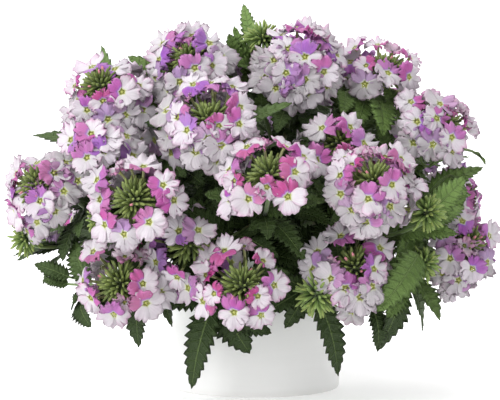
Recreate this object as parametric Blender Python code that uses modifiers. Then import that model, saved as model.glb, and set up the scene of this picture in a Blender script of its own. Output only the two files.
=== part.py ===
"""A garden verbena in a white pot: pot, potting soil, branching leafy stems and domed heads of five-petalled
florets round green tufts of calyces. Sizes are metres, +Z is up, and the origin is under the pot's middle."""

import math
import random

import bmesh
import bpy
from mathutils import Matrix, Vector
from mathutils.bvhtree import BVHTree

# The pot and its soil.
POT_RADIUS = 0.054
POT_HEIGHT = 0.098
POT_WALL = 0.0035
POT_FLOOR = 0.005
POT_EDGE = 0.0012
POT_SIDES = 24
SOIL_TOP = 0.087
SOIL_GAP = 0.0003
STEM_HOLE_RADIUS = 0.0038
STEM_HOLE_DEPTH = 0.014
STEM_HOLE_SPARE = 0.001
STEM_HOLE_SIDES = 4

# Stems, which are square in a verbena: half diagonals at the soil and at the head.
STEM_BASE = 0.0021
STEM_TIP = 0.0014
MAIN_SHARES = (0, 0.18, 0.45, 0.75, 1)
FORK_SHARES = (0, 0.33, 0.67, 1)
FORK_SLIMNESS = 0.8
STRAIGHT_END = 0.008
RIM_CLEARANCE = 0.007

# How a stem finds its way: the highest seats have the feet nearest to the middle of the pot. The handles are
# shares of the stem's reach, at its foot and at its seat.
BASE_NEAR = 0.008
BASE_FAR = 0.038
LOWEST_SEAT = 0.070
HIGHEST_SEAT = 0.210
BASE_REACHES = (1, 0.8, 1.2, 0.6)
BASE_SWINGS = (0, 7, -7, 14, -14, 21, -21, 30, -30, 40, -40)
MAIN_HANDLES = (0.45, 0.34)
LIFT_STEP = 0.004
FORK_HANDLES = ((0.35, 0.34), (0.5, 0.2), (0.2, 0.5), (0.6, 0.5), (0.1, 0.1))
FORK_PLACES = (MAIN_SHARES[2], MAIN_SHARES[3], MAIN_SHARES[1])
ROUTE_STEPS = 60

# A flower head, measured along and out from its own axis, whose zero is the stem's tip. The corolla tubes
# meet in a collar round the stem. The whorls of florets stand in turn on its faces.
SEAT_DEPTH = 0.013
COLLAR_INNER = 0.0022
COLLAR_OUTER = 0.0046
COLLAR_LOW = -0.0058
COLLAR_HIGH = -0.0021
PETALS = 5
SINUS_ANGLE = 36
CORNER_ANGLE = 27
SINUS_REACH = 0.40
SINUS_DROP = 0.0004
CORNER_LIFT = 0.0006
FLORETS_IN_WHORL = 5
INNER_WHORL = {"radius": 0.0114, "out": 0.0205, "up": 0.0150, "tilt": 35, "spin": 36}
OUTER_WHORL = {"radius": 0.0110, "out": 0.0262, "up": 0.0040, "tilt": 68, "spin": 180}
NECK_DEPTH = 0.0027
NECK_ANGLES = (30, 144, 257)
TUBE_RADIUS = 0.0011
SHRINKS = (1.0, 0.92, 0.84, 0.74)
LEANS = (0, 8, -8, 16, -16)

# Calyces: unopened green buds round the top of the stem, drawn out of the faces of a small ball.
TUFT_CORE = 0.0032
TUFT_UP = 0.0016
CALYX_LENGTH = 0.0115
HEAD_TUFT_LOWEST = 0.5
BUD_TUFT_LOWEST = -0.60

# Leaves. An outline lists how far along the leaf its edge points are, and how far out of half its width.
LEAF_LENGTH = 0.042
LEAF_WIDTH = 0.020
LEAF_RIB = 0.0013
LEAF_ARCH = 0.10
LEAF_TROUGH = 0.18
LEAF_ANGLE = 62
LEAF_STEP_BACK = 0.027
LEAF_STALK = 0.0018
LEAF_KEEL = 0.7
LEAF_NARROW = 0.0175
LEAF_REACHES = (0.026, 0.058)
LEAF_SIZES = (0.85, 1.05)
LEAF_TWIST = 35
SPRAY_STEP_BACK = 0.004
LOWEST_PAIR = 0.45
ONE_RIB_POINT = (0.45,)
TWO_RIB_POINTS = (0.38, 0.68)
LEAF_OUTWARD = 0.7
LEAF_UPWARD = 0.5
TWO_TEETH = ((0.38, 1.00), (0.44, 0.66), (0.66, 0.82), (0.71, 0.46))
THREE_TEETH = ((0.33, 0.94), (0.38, 0.66), (0.54, 1.00), (0.59, 0.64), (0.75, 0.70), (0.79, 0.40))
PLANT_HEART = Vector((0, 0, 0.110))
LOWEST_LEAF = 0.004
LEAF_SWINGS = (
    (0, 0), (12, 0), (-12, 0), (0, 14), (0, -14), (24, 0), (-24, 0), (0, 26), (22, 20), (-22, 20),
    (36, 0), (-36, 0), (0, 40),
)
TIP_SWINGS = ((0, 0), (14, 0), (-14, 0), (0, 14), (0, -14))
STEM_STEPS = 40
FIRST_STEP = 14
PLACES_TRIED = 60
SWELL = 0.0005
WELD = 0.00001
SEED = 7

# Flower heads: middle of the ring of florets, then the way it faces, as degrees round from the front
# (positive to the right) and degrees above level.
HEADS = {
    "top_left": ((-0.090, -0.060, 0.188), (-42, 45)),
    "top_mid": ((-0.039, -0.060, 0.207), (-18, 50)),
    "upper_mid": ((-0.026, -0.113, 0.172), (-14, 36)),
    "top_right": ((0.027, -0.058, 0.206), (8, 48)),
    "crown_right": ((0.081, -0.030, 0.199), (30, 55)),
    "right_high": ((0.114, -0.050, 0.168), (48, 38)),
    "left_mid": ((-0.128, -0.058, 0.129), (-52, 22)),
    "left_front": ((-0.070, -0.122, 0.126), (-22, 22)),
    "middle": ((0.009, -0.142, 0.141), (4, 38)),
    "right_front": ((0.070, -0.124, 0.136), (22, 38)),
    "low_left": ((-0.080, -0.100, 0.075), (-26, 8)),
    "low_left_mid": ((-0.038, -0.105, 0.101), (-12, 22)),
    "low_mid": ((-0.007, -0.126, 0.076), (0, 12)),
    "low_right": ((0.059, -0.112, 0.085), (16, 15)),
    "right_low": ((0.131, -0.048, 0.094), (52, 18)),
    "inner_right": ((0.050, -0.088, 0.158), (20, 50)),
    "inner_left": ((-0.099, -0.082, 0.155), (-46, 34)),
    "back_top": ((0.036, 0.022, 0.211), (120, 70)),
    "back_top_left": ((-0.050, 0.016, 0.210), (-120, 66)),
    "back_right_high": ((0.098, 0.048, 0.170), (116, 38)),
    "back_left_high": ((-0.110, 0.028, 0.164), (-106, 34)),
    "back_mid": ((0.036, 0.094, 0.174), (162, 42)),
    "back_mid_left": ((-0.052, 0.104, 0.154), (-156, 36)),
    "back_left_low": ((-0.112, 0.080, 0.108), (-126, 14)),
    "back_low": ((-0.014, 0.136, 0.104), (-176, 14)),
    "back_right_low": ((0.070, 0.114, 0.108), (148, 14)),
    "right_side": ((0.134, 0.032, 0.122), (102, 20)),
}

# Clusters of green buds with no open florets yet: place, the way they face, and size.
BUDS = {
    "bud_top": ((0.004, -0.036, 0.219), (40, 45), 1.0),
    "bud_left": ((-0.139, -0.040, 0.097), (-40, 35), 1.0),
    "bud_front": ((0.036, -0.113, 0.070), (5, 15), 1.1),
    "bud_right": ((0.101, -0.098, 0.116), (25, 45), 1.0),
    "bud_right_low": ((0.100, -0.084, 0.085), (30, 30), 0.9),
    "bud_inner_left": ((-0.091, -0.104, 0.112), (-30, 30), 0.7),
}

# Side shoots that end in leaves only: place and the way they face.
SPRAYS = {
    "spray_front": ((-0.026, -0.088, 0.058), (-12, -50)),
    "spray_right": ((0.112, -0.044, 0.124), (62, 15)),
}

# Each leafy shoot: its own end first, then the ends that fork from it.
SHOOTS = {
    "shoot_top_left": ("top_left", "inner_left"),
    "shoot_top_mid": ("top_mid",),
    "shoot_upper_mid": ("upper_mid",),
    "shoot_top_right": ("top_right", "bud_top"),
    "shoot_crown_right": ("crown_right",),
    "shoot_right_high": ("right_high", "spray_right"),
    "shoot_left": ("left_mid", "bud_left"),
    "shoot_left_front": ("left_front", "bud_inner_left"),
    "shoot_middle": ("middle", "low_left_mid"),
    "shoot_right_front": ("right_front", "bud_right"),
    "shoot_inner_right": ("inner_right",),
    "shoot_low_left": ("low_left",),
    "shoot_low_mid": ("low_mid", "spray_front"),
    "shoot_low_right": ("low_right", "bud_front"),
    "shoot_right_low": ("right_low", "bud_right_low"),
    "shoot_back_top": ("back_top", "back_top_left"),
    "shoot_back_right": ("back_right_high", "right_side"),
    "shoot_back_left": ("back_left_high", "back_left_low"),
    "shoot_back_mid": ("back_mid", "back_right_low"),
    "shoot_back_low": ("back_low", "back_mid_left"),
}

# Leaves that show at the outline: where the tip is, and the width. Each grows from the nearest free stem.
PLACED_LEAVES = (
    ((-0.079, -0.026, 0.210), 0.015),
    ((-0.013, -0.028, 0.229), 0.012),
    ((-0.007, -0.006, 0.243), 0.013),
    ((0.142, -0.030, 0.141), 0.017),
    ((0.131, -0.070, 0.140), 0.017),
    ((0.127, -0.058, 0.120), 0.018),
    ((0.073, -0.118, 0.064), 0.020),
    ((0.112, -0.072, 0.050), 0.020),
    ((0.074, -0.070, 0.031), 0.022),
    ((-0.038, -0.082, 0.010), 0.020),
    ((-0.003, -0.080, 0.031), 0.024),
    ((0.050, -0.084, 0.018), 0.018),
    ((0.018, -0.078, 0.046), 0.020),
    ((-0.070, -0.074, 0.034), 0.020),
    ((-0.108, -0.060, 0.054), 0.018),
    ((-0.130, -0.052, 0.070), 0.016),
    ((-0.050, -0.070, 0.046), 0.016),
    ((-0.150, -0.034, 0.086), 0.018),
    ((0.120, -0.030, 0.186), 0.015),
    ((0.008, -0.126, 0.103), 0.018),
    ((0.034, -0.106, 0.126), 0.018),
    ((0.022, -0.100, 0.182), 0.018),
    ((0.104, -0.040, 0.040), 0.020),
)


def clear_scene():
    for obj in list(bpy.data.objects):
        bpy.data.objects.remove(obj, do_unlink=True)


def material(name, colour, roughness):
    made = bpy.data.materials.new(name)
    made.use_nodes = True
    shader = made.node_tree.nodes["Principled BSDF"]
    shader.inputs["Base Color"].default_value = (*colour, 1.0)
    shader.inputs["Roughness"].default_value = roughness
    return made


def new_collection(name):
    made = bpy.data.collections.new(name)
    bpy.context.scene.collection.children.link(made)
    return made


def object_of(name, points, faces, collection, look=None):
    """A mesh object from points and faces."""
    mesh = bpy.data.meshes.new(name)
    mesh.from_pydata([tuple(p) for p in points], [], faces)
    obj = bpy.data.objects.new(name, mesh)
    collection.objects.link(obj)
    if look:
        mesh.materials.append(look)
    return obj


def facing(angles):
    """The unit vector for degrees round from the front and degrees above level."""
    turn, rise = (math.radians(a) for a in angles)
    return Vector((math.sin(turn) * math.cos(rise), -math.cos(turn) * math.cos(rise), math.sin(rise)))


def frame_towards(place, axis, upward):
    """A matrix at place whose Z runs along axis and whose Y leans towards upward."""
    z = axis.normalized()
    x = upward.cross(z).normalized()
    y = z.cross(x)
    turned = Matrix((x, y, z)).transposed().to_4x4()
    return Matrix.Translation(place) @ turned


def swollen(points, faces):
    """The points moved out from the surface by the clearance that pieces keep."""
    outward = [Vector() for _ in points]
    for face in faces:
        a, b, c = (points[i] for i in face[:3])
        normal = (b - a).cross(c - a).normalized()
        for i in face:
            outward[i] += normal
    return [p + n.normalized() * SWELL for p, n in zip(points, outward)]


class Room:
    """What has grown so far, for keeping one piece clear of the others."""

    def __init__(self):
        self.trees = []

    def take(self, owner, points, faces):
        self.trees.append((owner, BVHTree.FromPolygons(points, faces)))

    def is_free(self, owner, points, faces, others=()):
        """Whether a piece keeps its clearance from the other owners' pieces and from the trees others."""
        tree = BVHTree.FromPolygons(swollen(points, faces), faces)
        rest = [other for name, other in self.trees if name != owner]
        return not any(tree.overlap(other) for other in (*rest, *others))


def shape_of(obj):
    """An object's points and faces."""
    return [v.co.copy() for v in obj.data.vertices], [tuple(f.vertices) for f in obj.data.polygons]


def add_shape(shape, name, owner, room, collection):
    """Makes an object of a shape and notes the room that it takes."""
    room.take(owner, *shape)
    return object_of(name, *shape, collection)


def mesh_of_curve(curve):
    """The curve object as a mesh object with its end caps welded on."""
    graph = bpy.context.evaluated_depsgraph_get()
    mesh = bpy.data.meshes.new_from_object(curve.evaluated_get(graph))
    shape = bmesh.new()
    shape.from_mesh(mesh)
    bmesh.ops.remove_doubles(shape, verts=shape.verts, dist=WELD)
    bmesh.ops.recalc_face_normals(shape, faces=shape.faces)
    bmesh.ops.triangulate(shape, faces=shape.faces)
    shape.to_mesh(mesh)
    shape.free()
    made = bpy.data.objects.new(curve.name + "_mesh", mesh)
    curve.users_collection[0].objects.link(made)
    made.matrix_world = curve.matrix_world
    bpy.data.objects.remove(curve, do_unlink=True)
    return made


def tube(name, points, start, end, collection):
    """A square stem along points, tapering from radius start to radius end."""
    data = bpy.data.curves.new(name, "CURVE")
    data.dimensions = "3D"
    data.bevel_depth = start
    data.bevel_resolution = 0
    data.use_fill_caps = True
    spline = data.splines.new("POLY")
    spline.points.add(len(points) - 1)
    for i, point in enumerate(points):
        spline.points[i].co = (*point, 1)
        spline.points[i].radius = 1 + (end / start - 1) * i / (len(points) - 1)
    curve = bpy.data.objects.new(name, data)
    collection.objects.link(curve)
    bpy.context.view_layer.update()
    return mesh_of_curve(curve)


def join_all(body, extras):
    """One Boolean union of body with every object of the collection extras, applied."""
    union = body.modifiers.new("grown together", "BOOLEAN")
    union.operation = "UNION"
    union.operand_type = "COLLECTION"
    union.collection = extras
    union.solver = "MANIFOLD"
    graph = bpy.context.evaluated_depsgraph_get()
    mesh = bpy.data.meshes.new_from_object(body.evaluated_get(graph))
    body.modifiers.clear()
    body.data = mesh
    for obj in list(extras.objects):
        bpy.data.objects.remove(obj, do_unlink=True)
    bpy.data.collections.remove(extras)


def bezier(corners, share):
    a, b, c, d = corners
    rest = 1 - share
    return a * rest**3 + b * (3 * rest * rest * share) + c * (3 * rest * share * share) + d * share**3


def meets_the_rim(corners):
    """Whether a stem with these Bezier corners comes too near the pot's rim or wall."""
    for i in range(ROUTE_STEPS + 1):
        point = bezier(corners, i / ROUTE_STEPS)
        out = math.hypot(point.x, point.y)
        if math.hypot(out - POT_RADIUS + POT_WALL / 2, point.z - POT_HEIGHT) < RIM_CLEARANCE:
            return True
        if point.z < POT_HEIGHT and POT_RADIUS - POT_WALL - RIM_CLEARANCE < out < POT_RADIUS + RIM_CLEARANCE:
            return True
    return False


def end_frame(name):
    """The frame at the stem's tip, inside a flower head or a cluster of buds."""
    if name in HEADS:
        place, angles = HEADS[name]
        return frame_towards(Vector(place) - facing(angles) * SEAT_DEPTH, facing(angles), Vector((0, 0, 1)))
    place, angles = (BUDS if name in BUDS else SPRAYS)[name][:2]
    return frame_towards(Vector(place), facing(angles), Vector((0, 0, 1)))


def main_stems(end):
    """Ways for a stem to run from the soil to its end, as Bezier corners, the best first."""
    frame = end_frame(end)
    axis = frame.to_3x3() @ Vector((0, 0, 1))
    seat = frame.translation - axis * STRAIGHT_END
    share = min(1, max(0, (seat.z - LOWEST_SEAT) / (HIGHEST_SEAT - LOWEST_SEAT)))
    radius = BASE_FAR + (BASE_NEAR - BASE_FAR) * share
    bearing = math.atan2(seat.y, seat.x)
    for nearer in BASE_REACHES:
        for swing in BASE_SWINGS:
            turn = bearing + math.radians(swing)
            start = Vector((math.cos(turn), math.sin(turn), 0)) * (radius * nearer)
            start.z = SOIL_TOP - STEM_HOLE_DEPTH + STEM_HOLE_SPARE
            reach = (seat - start).length
            lift = Vector((0, 0, MAIN_HANDLES[0] * reach))
            corners = (start, start + lift, seat - axis * (MAIN_HANDLES[1] * reach), seat)
            while meets_the_rim(corners) and lift.z < 2 * reach:
                lift.z += LIFT_STEP
                corners = (start, start + lift, corners[2], seat)
            if not meets_the_rim(corners):
                yield corners


def forked_stems(end, main):
    """Ways for a stem to fork from the stem with the corners main, as Bezier corners, the best first."""
    frame = end_frame(end)
    axis = frame.to_3x3() @ Vector((0, 0, 1))
    seat = frame.translation - axis * STRAIGHT_END
    for at in FORK_PLACES:
        start = bezier(main, at)
        along = (bezier(main, at + 0.05) - start).normalized()
        reach = (seat - start).length
        for first, last in FORK_HANDLES:
            corners = (start, start + along * (first * reach), seat - axis * (last * reach), seat)
            if not meets_the_rim(corners):
                yield corners


def on_stem(corners, shares, share):
    """The point of a stem, which runs straight between its corners' points at shares."""
    after = next(i for i in range(1, len(shares)) if shares[i] >= share)
    before = after - 1
    part = (share - shares[before]) / (shares[after] - shares[before])
    return bezier(corners, shares[before]).lerp(bezier(corners, shares[after]), part)


def shares_of(end):
    """How far along its curve the points of an end's stem are."""
    return MAIN_SHARES if end in [ends[0] for ends in SHOOTS.values()] else FORK_SHARES


def stem_shape(corners, shares, start, collection):
    """A stem along its Bezier corners, with its last stretch straight, as an object."""
    points = [bezier(corners, share) for share in shares]
    points.append(points[-1] + (corners[3] - corners[2]).normalized() * STRAIGHT_END)
    return tube("stem", points, start, STEM_TIP, collection)


def grow_stem(end, shoot, main, room, collection):
    """Adds the stem of one end where it fits. Gives its corners and the object."""
    ways = forked_stems(end, main) if main else main_stems(end)
    start = STEM_BASE * FORK_SLIMNESS if main else STEM_BASE
    for corners in ways:
        stem = stem_shape(corners, shares_of(end), start, collection)
        if room.is_free(shoot, *shape_of(stem)):
            room.take(shoot, *shape_of(stem))
            return corners, stem
        bpy.data.objects.remove(stem, do_unlink=True)
    raise RuntimeError(f"the stem of {end} has no way through")


def tuft_shape(end):
    """The green buds on one stem's tip: a ball with a face on top, whose faces are drawn out to points."""
    scale, lowest = (1.0, HEAD_TUFT_LOWEST) if end in HEADS else (BUDS[end][2], BUD_TUFT_LOWEST)
    ball = bmesh.new()
    bmesh.ops.create_icosphere(ball, subdivisions=1, radius=TUFT_CORE)
    ball.faces.ensure_lookup_table()
    upright = ball.faces[0].normal.rotation_difference(Vector((0, 0, 1))).to_matrix()
    bmesh.ops.rotate(ball, matrix=upright, verts=ball.verts)
    ball.normal_update()
    for face in list(ball.faces):
        if face.normal.z > lowest:
            bmesh.ops.poke(ball, faces=[face], offset=CALYX_LENGTH)
    middle = Matrix.Translation((0, 0, TUFT_UP))
    bmesh.ops.transform(ball, matrix=end_frame(end) @ middle @ Matrix.Scale(scale, 4), verts=ball.verts)
    ball.verts.index_update()
    shape = [v.co.copy() for v in ball.verts], [tuple(v.index for v in f.verts) for f in ball.faces]
    ball.free()
    return shape


def leaf_shape(root, tip, width, upper, outline):
    """A toothed leaf from root to tip, thick along its rib and thin at its edge: its points, its faces, and
    how many of them, at the end, are clear of its stalk. upper is the way its upper side looks."""
    along = tip - root
    length = along.length
    x = along / length
    y = upper.cross(x).normalized()
    z = x.cross(y)

    def at(share, side, height):
        arch = LEAF_ARCH * length * math.sin(math.pi * share)
        return root + x * (share * length) + y * side + z * (height + arch)

    half = LEAF_STALK / 2
    points = [at(0, half, 0), at(0, -half, 0), at(0, 0, -LEAF_STALK * LEAF_KEEL)]
    ribs = ONE_RIB_POINT if outline is TWO_TEETH else TWO_RIB_POINTS
    for share in ribs:
        points.append(at(share, 0, 0))
        points.append(at(share, 0, -LEAF_RIB))
    first = len(points)
    for share, wide in outline:
        for sign in (1, -1):
            points.append(at(share, sign * wide * width / 2, LEAF_TROUGH * wide * width / 2))
    points.append(at(1, 0, 0))
    stalk, blade = [(0, 2, 1), (0, 1, 3)], []
    for sign in (0, 1):
        edge = [first + 2 * i + sign for i in range(len(outline))] + [len(points) - 1]
        for under in (0, 1):
            mids = [3 + 2 * i + under for i in range(len(ribs))]
            near = [(2, sign, edge[0]), (2, edge[0], mids[0])] if under else [(sign, edge[0], mids[0])]
            turns = len(edge) - 1 if len(mids) == 1 else 3
            far = [(mids[0], edge[i], edge[i + 1]) for i in range(turns)]
            if len(mids) == 2:
                far.append((mids[0], edge[turns], mids[1]))
                far += [(mids[1], edge[i], edge[i + 1]) for i in range(turns, len(edge) - 1)]
            flip = sign == under
            stalk += [face[::-1] if flip else face for face in near]
            blade += [face[::-1] if flip else face for face in far]
    return points, stalk + blade, len(blade)


def leaf_way(root, tip):
    """The way that the upper side of a leaf looks: out from the plant's heart and up."""
    outward = (root.lerp(tip, 0.5) - PLANT_HEART).normalized()
    return outward * LEAF_OUTWARD + Vector((0, 0, LEAF_UPWARD))


def grow_leaf(name, shoot, root, tip, width, outline, room, leaves, extras):
    """Adds one leaf if it fits."""
    points, faces, blades = leaf_shape(root, tip, width, leaf_way(root, tip), outline)
    if min(p.z for p in points) < LOWEST_LEAF:
        return False
    if not room.is_free(shoot, points, faces) or not room.is_free(shoot, points, faces[-blades:], leaves):
        return False
    leaves.append(BVHTree.FromPolygons(points, faces))
    add_shape((points, faces), name, shoot, room, extras)
    return True


def swung(root, tip, swing, lift, size=1):
    """The tip that a leaf has after swinging it, lifting it and scaling its length by size."""
    along = tip - root
    upper = leaf_way(root, tip).normalized()
    side = upper.cross(along).normalized()
    turned = Matrix.Rotation(math.radians(swing), 3, upper) @ along
    return root + Matrix.Rotation(math.radians(-lift), 3, side) @ turned * size


def leaf_pair(end, corners, rng):
    """Root and tip of an opposite pair of leaves a little below the end of a stem."""
    reach = (corners[3] - corners[0]).length
    step_back = LEAF_STEP_BACK if end not in SPRAYS else SPRAY_STEP_BACK
    root = on_stem(corners, shares_of(end), max(LOWEST_PAIR, 1 - step_back / reach))
    along = (corners[3] - bezier(corners, 0.9)).normalized()
    across = along.cross(Vector((0, 0, 1)) if abs(along.z) < 0.9 else Vector((0, 1, 0))).normalized()
    across = Matrix.Rotation(math.radians(rng.uniform(-LEAF_TWIST, LEAF_TWIST)), 3, along) @ across
    angle = math.radians(LEAF_ANGLE)
    for sign in (1, -1):
        way = along * math.cos(angle) + across * (sign * math.sin(angle))
        yield root, root + way * (LEAF_LENGTH * rng.uniform(*LEAF_SIZES))


def stem_places(routes, tip):
    """Ends of stems and places on them for a leaf with this tip to grow from, the best length first."""
    places = []
    for end, corners in routes.items():
        for i in range(FIRST_STEP, STEM_STEPS):
            root = on_stem(corners, shares_of(end), i / STEM_STEPS)
            along = tip - root
            outwards = (root - PLANT_HEART).length < (tip - PLANT_HEART).length
            if outwards and LEAF_REACHES[0] < along.length < LEAF_REACHES[1]:
                places.append((abs(along.length - LEAF_LENGTH), end, root))
    places.sort(key=lambda place: place[0])
    return [place[1:] for place in places[:PLACES_TRIED]]


def limb_shape(throat, radius, spin):
    """A floret's five-petalled limb, in the frame throat, open below where its tube of three sides begins.
    Its rim has three points for each petal, and the last three points are the neck."""
    points = []
    for petal in range(PETALS):
        for offset, reach, height in (
            (-SINUS_ANGLE, SINUS_REACH, -SINUS_DROP),
            (-CORNER_ANGLE, 1.0, CORNER_LIFT),
            (CORNER_ANGLE, 1.0, CORNER_LIFT),
        ):
            angle = math.radians(90 + spin + 72 * petal + offset)
            flat = Vector((math.cos(angle), math.sin(angle), 0)) * (radius * reach)
            points.append(throat @ (flat + Vector((0, 0, height))))
    rim = len(points)
    for degrees in NECK_ANGLES:
        angle = math.radians(90 + spin + degrees)
        ring = Vector((TUBE_RADIUS * math.cos(angle), TUBE_RADIUS * math.sin(angle), -NECK_DEPTH))
        points.append(throat @ ring)
    faces = [(0, 3, 6), (0, 6, 9), (0, 9, 12)]
    for first in range(0, rim, 3):
        faces += [(first, first + 1, first + 2), (first, first + 2, (first + 3) % rim)]
    third = rim // 3
    for side in range(3):
        here, after = rim + side, rim + (side + 1) % 3
        for i in range(third * side, third * side + third):
            faces.append((here, (i + 1) % rim, i))
        faces.append((here, after, third * (side + 1) % rim))
    return points, faces


def tube_faces(root, neck, points):
    """The six faces of a tube from the three points root to the three points neck, without a twist."""
    turn = min(
        range(3),
        key=lambda t: sum((points[root[(k + t) % 3]] - points[neck[k]]).length for k in range(3)),
    )
    root = [root[(k + turn) % 3] for k in range(3)]
    faces = []
    for k in range(3):
        after = (k + 1) % 3
        faces.append((root[k], root[after], neck[after]))
        faces.append((root[k], neck[after], neck[k]))
    return faces


def floret_tries(frame, whorl, bearing):
    """A floret's throat frame and radius, as it would like to be and then leaning or smaller."""
    out = Vector((math.cos(bearing), math.sin(bearing), 0))
    for shrink in SHRINKS:
        for lean in LEANS:
            tilt = math.radians(whorl["tilt"] + lean)
            axis = out * math.sin(tilt) + Vector((0, 0, math.cos(tilt)))
            place = out * whorl["out"] + Vector((0, 0, whorl["up"]))
            yield frame @ frame_towards(place, axis, out), whorl["radius"] * shrink


def collar_shape(frame):
    """The ring round the stem where the corolla tubes meet: its points, its plain faces, and the faces that
    the tubes of the inner and of the outer whorl stand on."""
    count = FLORETS_IN_WHORL
    points = []
    for radius, height, stagger in (
        (COLLAR_OUTER, COLLAR_LOW, 0),
        (COLLAR_OUTER, COLLAR_HIGH, 0.5),
        (COLLAR_INNER, (COLLAR_LOW + COLLAR_HIGH) / 2, 0),
    ):
        for i in range(count):
            angle = math.pi / 2 + math.tau * (i + stagger) / count
            points.append(frame @ Vector((radius * math.cos(angle), radius * math.sin(angle), height)))
    plain, inner, outer = [], [], []
    for i in range(count):
        near = (i + 1) % count
        low, low_near = i, near
        high, high_back = count + i, count + (i - 1) % count
        hole, hole_near = 2 * count + i, 2 * count + near
        inner.append((low, high, high_back))
        outer.append((low, low_near, high))
        plain += [(low, hole, low_near), (hole, hole_near, low_near)]
        plain += [(high, hole_near, hole), (high, hole, high_back)]
    return points, plain, inner, outer


def grow_head(name, room, look, collection):
    """The corollas of one flower head as one body. Each floret is kept clear of the others and of what has
    grown already."""
    node = "head_" + name
    frame = end_frame(name)
    points, faces, inner, outer = collar_shape(frame)
    limbs = []
    for whorl, roots, stagger in ((INNER_WHORL, inner, 0), (OUTER_WHORL, outer, 0.5)):
        for i, root in enumerate(roots):
            bearing = math.pi / 2 + math.tau * (i + stagger) / FLORETS_IN_WHORL
            for throat, radius in floret_tries(frame, whorl, bearing):
                limb_points, limb_faces = limb_shape(throat, radius, whorl["spin"])
                if not room.is_free(node, limb_points, limb_faces, limbs):
                    continue
                first = len(points)
                neck = [first + len(limb_points) - 3 + k for k in range(3)]
                added = points + limb_points
                tube = tube_faces(root, neck, added)
                if room.is_free(node, added, tube):
                    limbs.append(BVHTree.FromPolygons(limb_points, limb_faces))
                    points = added
                    faces += [tuple(first + i for i in face) for face in limb_faces] + tube
                    break
            else:
                faces.append(root)
    room.take(node, points, faces)
    object_of(node, points, faces, collection, look)


def turned(name, outline, sides, collection, look):
    """A round solid from an outline of (radius, height) points, run down its outer side."""
    mesh = bpy.data.meshes.new(name)
    mesh.from_pydata([(r, 0, z) for r, z in outline], [(i, i + 1) for i in range(len(outline) - 1)], [])
    obj = bpy.data.objects.new(name, mesh)
    collection.objects.link(obj)
    screw = obj.modifiers.new("turned", "SCREW")
    screw.steps = screw.render_steps = sides
    screw.use_merge_vertices = True
    screw.merge_threshold = WELD
    screw.use_smooth_shade = True
    mesh.materials.append(look)
    return obj


def make_pot(collection, look):
    inner = POT_RADIUS - POT_WALL
    outline = [
        (0, POT_FLOOR),
        (inner, POT_FLOOR),
        (inner, POT_HEIGHT),
        (POT_RADIUS - POT_EDGE, POT_HEIGHT),
        (POT_RADIUS, POT_HEIGHT - POT_EDGE),
        (POT_RADIUS, POT_EDGE),
        (POT_RADIUS - POT_EDGE, 0),
        (0, 0),
    ]
    return turned("pot", outline, POT_SIDES, collection, look)


def make_soil(collection, look, stems):
    """The soil, with a plain hole along the foot of each stem."""
    radius = POT_RADIUS - POT_WALL - SOIL_GAP
    bottom = POT_FLOOR + SOIL_GAP
    outline = [(0, SOIL_TOP), (radius, SOIL_TOP), (radius, bottom), (0, bottom)]
    soil = turned("soil", outline, POT_SIDES, collection, look)
    cutters = new_collection("cutters")
    for i, corners in enumerate(stems):
        foot, above = corners[0], bezier(corners, MAIN_SHARES[1])
        along = (above - foot).normalized()
        place = frame_towards(foot + along * STEM_HOLE_DEPTH, along, Vector((1, 0, 0)))
        hole = bmesh.new()
        bmesh.ops.create_cone(
            hole, matrix=place, cap_ends=True, segments=STEM_HOLE_SIDES, radius1=STEM_HOLE_RADIUS,
            radius2=STEM_HOLE_RADIUS, depth=2 * (STEM_HOLE_DEPTH + STEM_HOLE_SPARE),
        )
        mesh = bpy.data.meshes.new(f"stem_hole_{i}")
        hole.to_mesh(mesh)
        hole.free()
        cutter = bpy.data.objects.new(mesh.name, mesh)
        cutters.objects.link(cutter)
        cutter.hide_render = True
        cutter.display_type = "WIRE"
    cut = soil.modifiers.new("stem holes", "BOOLEAN")
    cut.operation = "DIFFERENCE"
    cut.operand_type = "COLLECTION"
    cut.collection = cutters
    cut.solver = "EXACT"
    return soil


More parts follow.
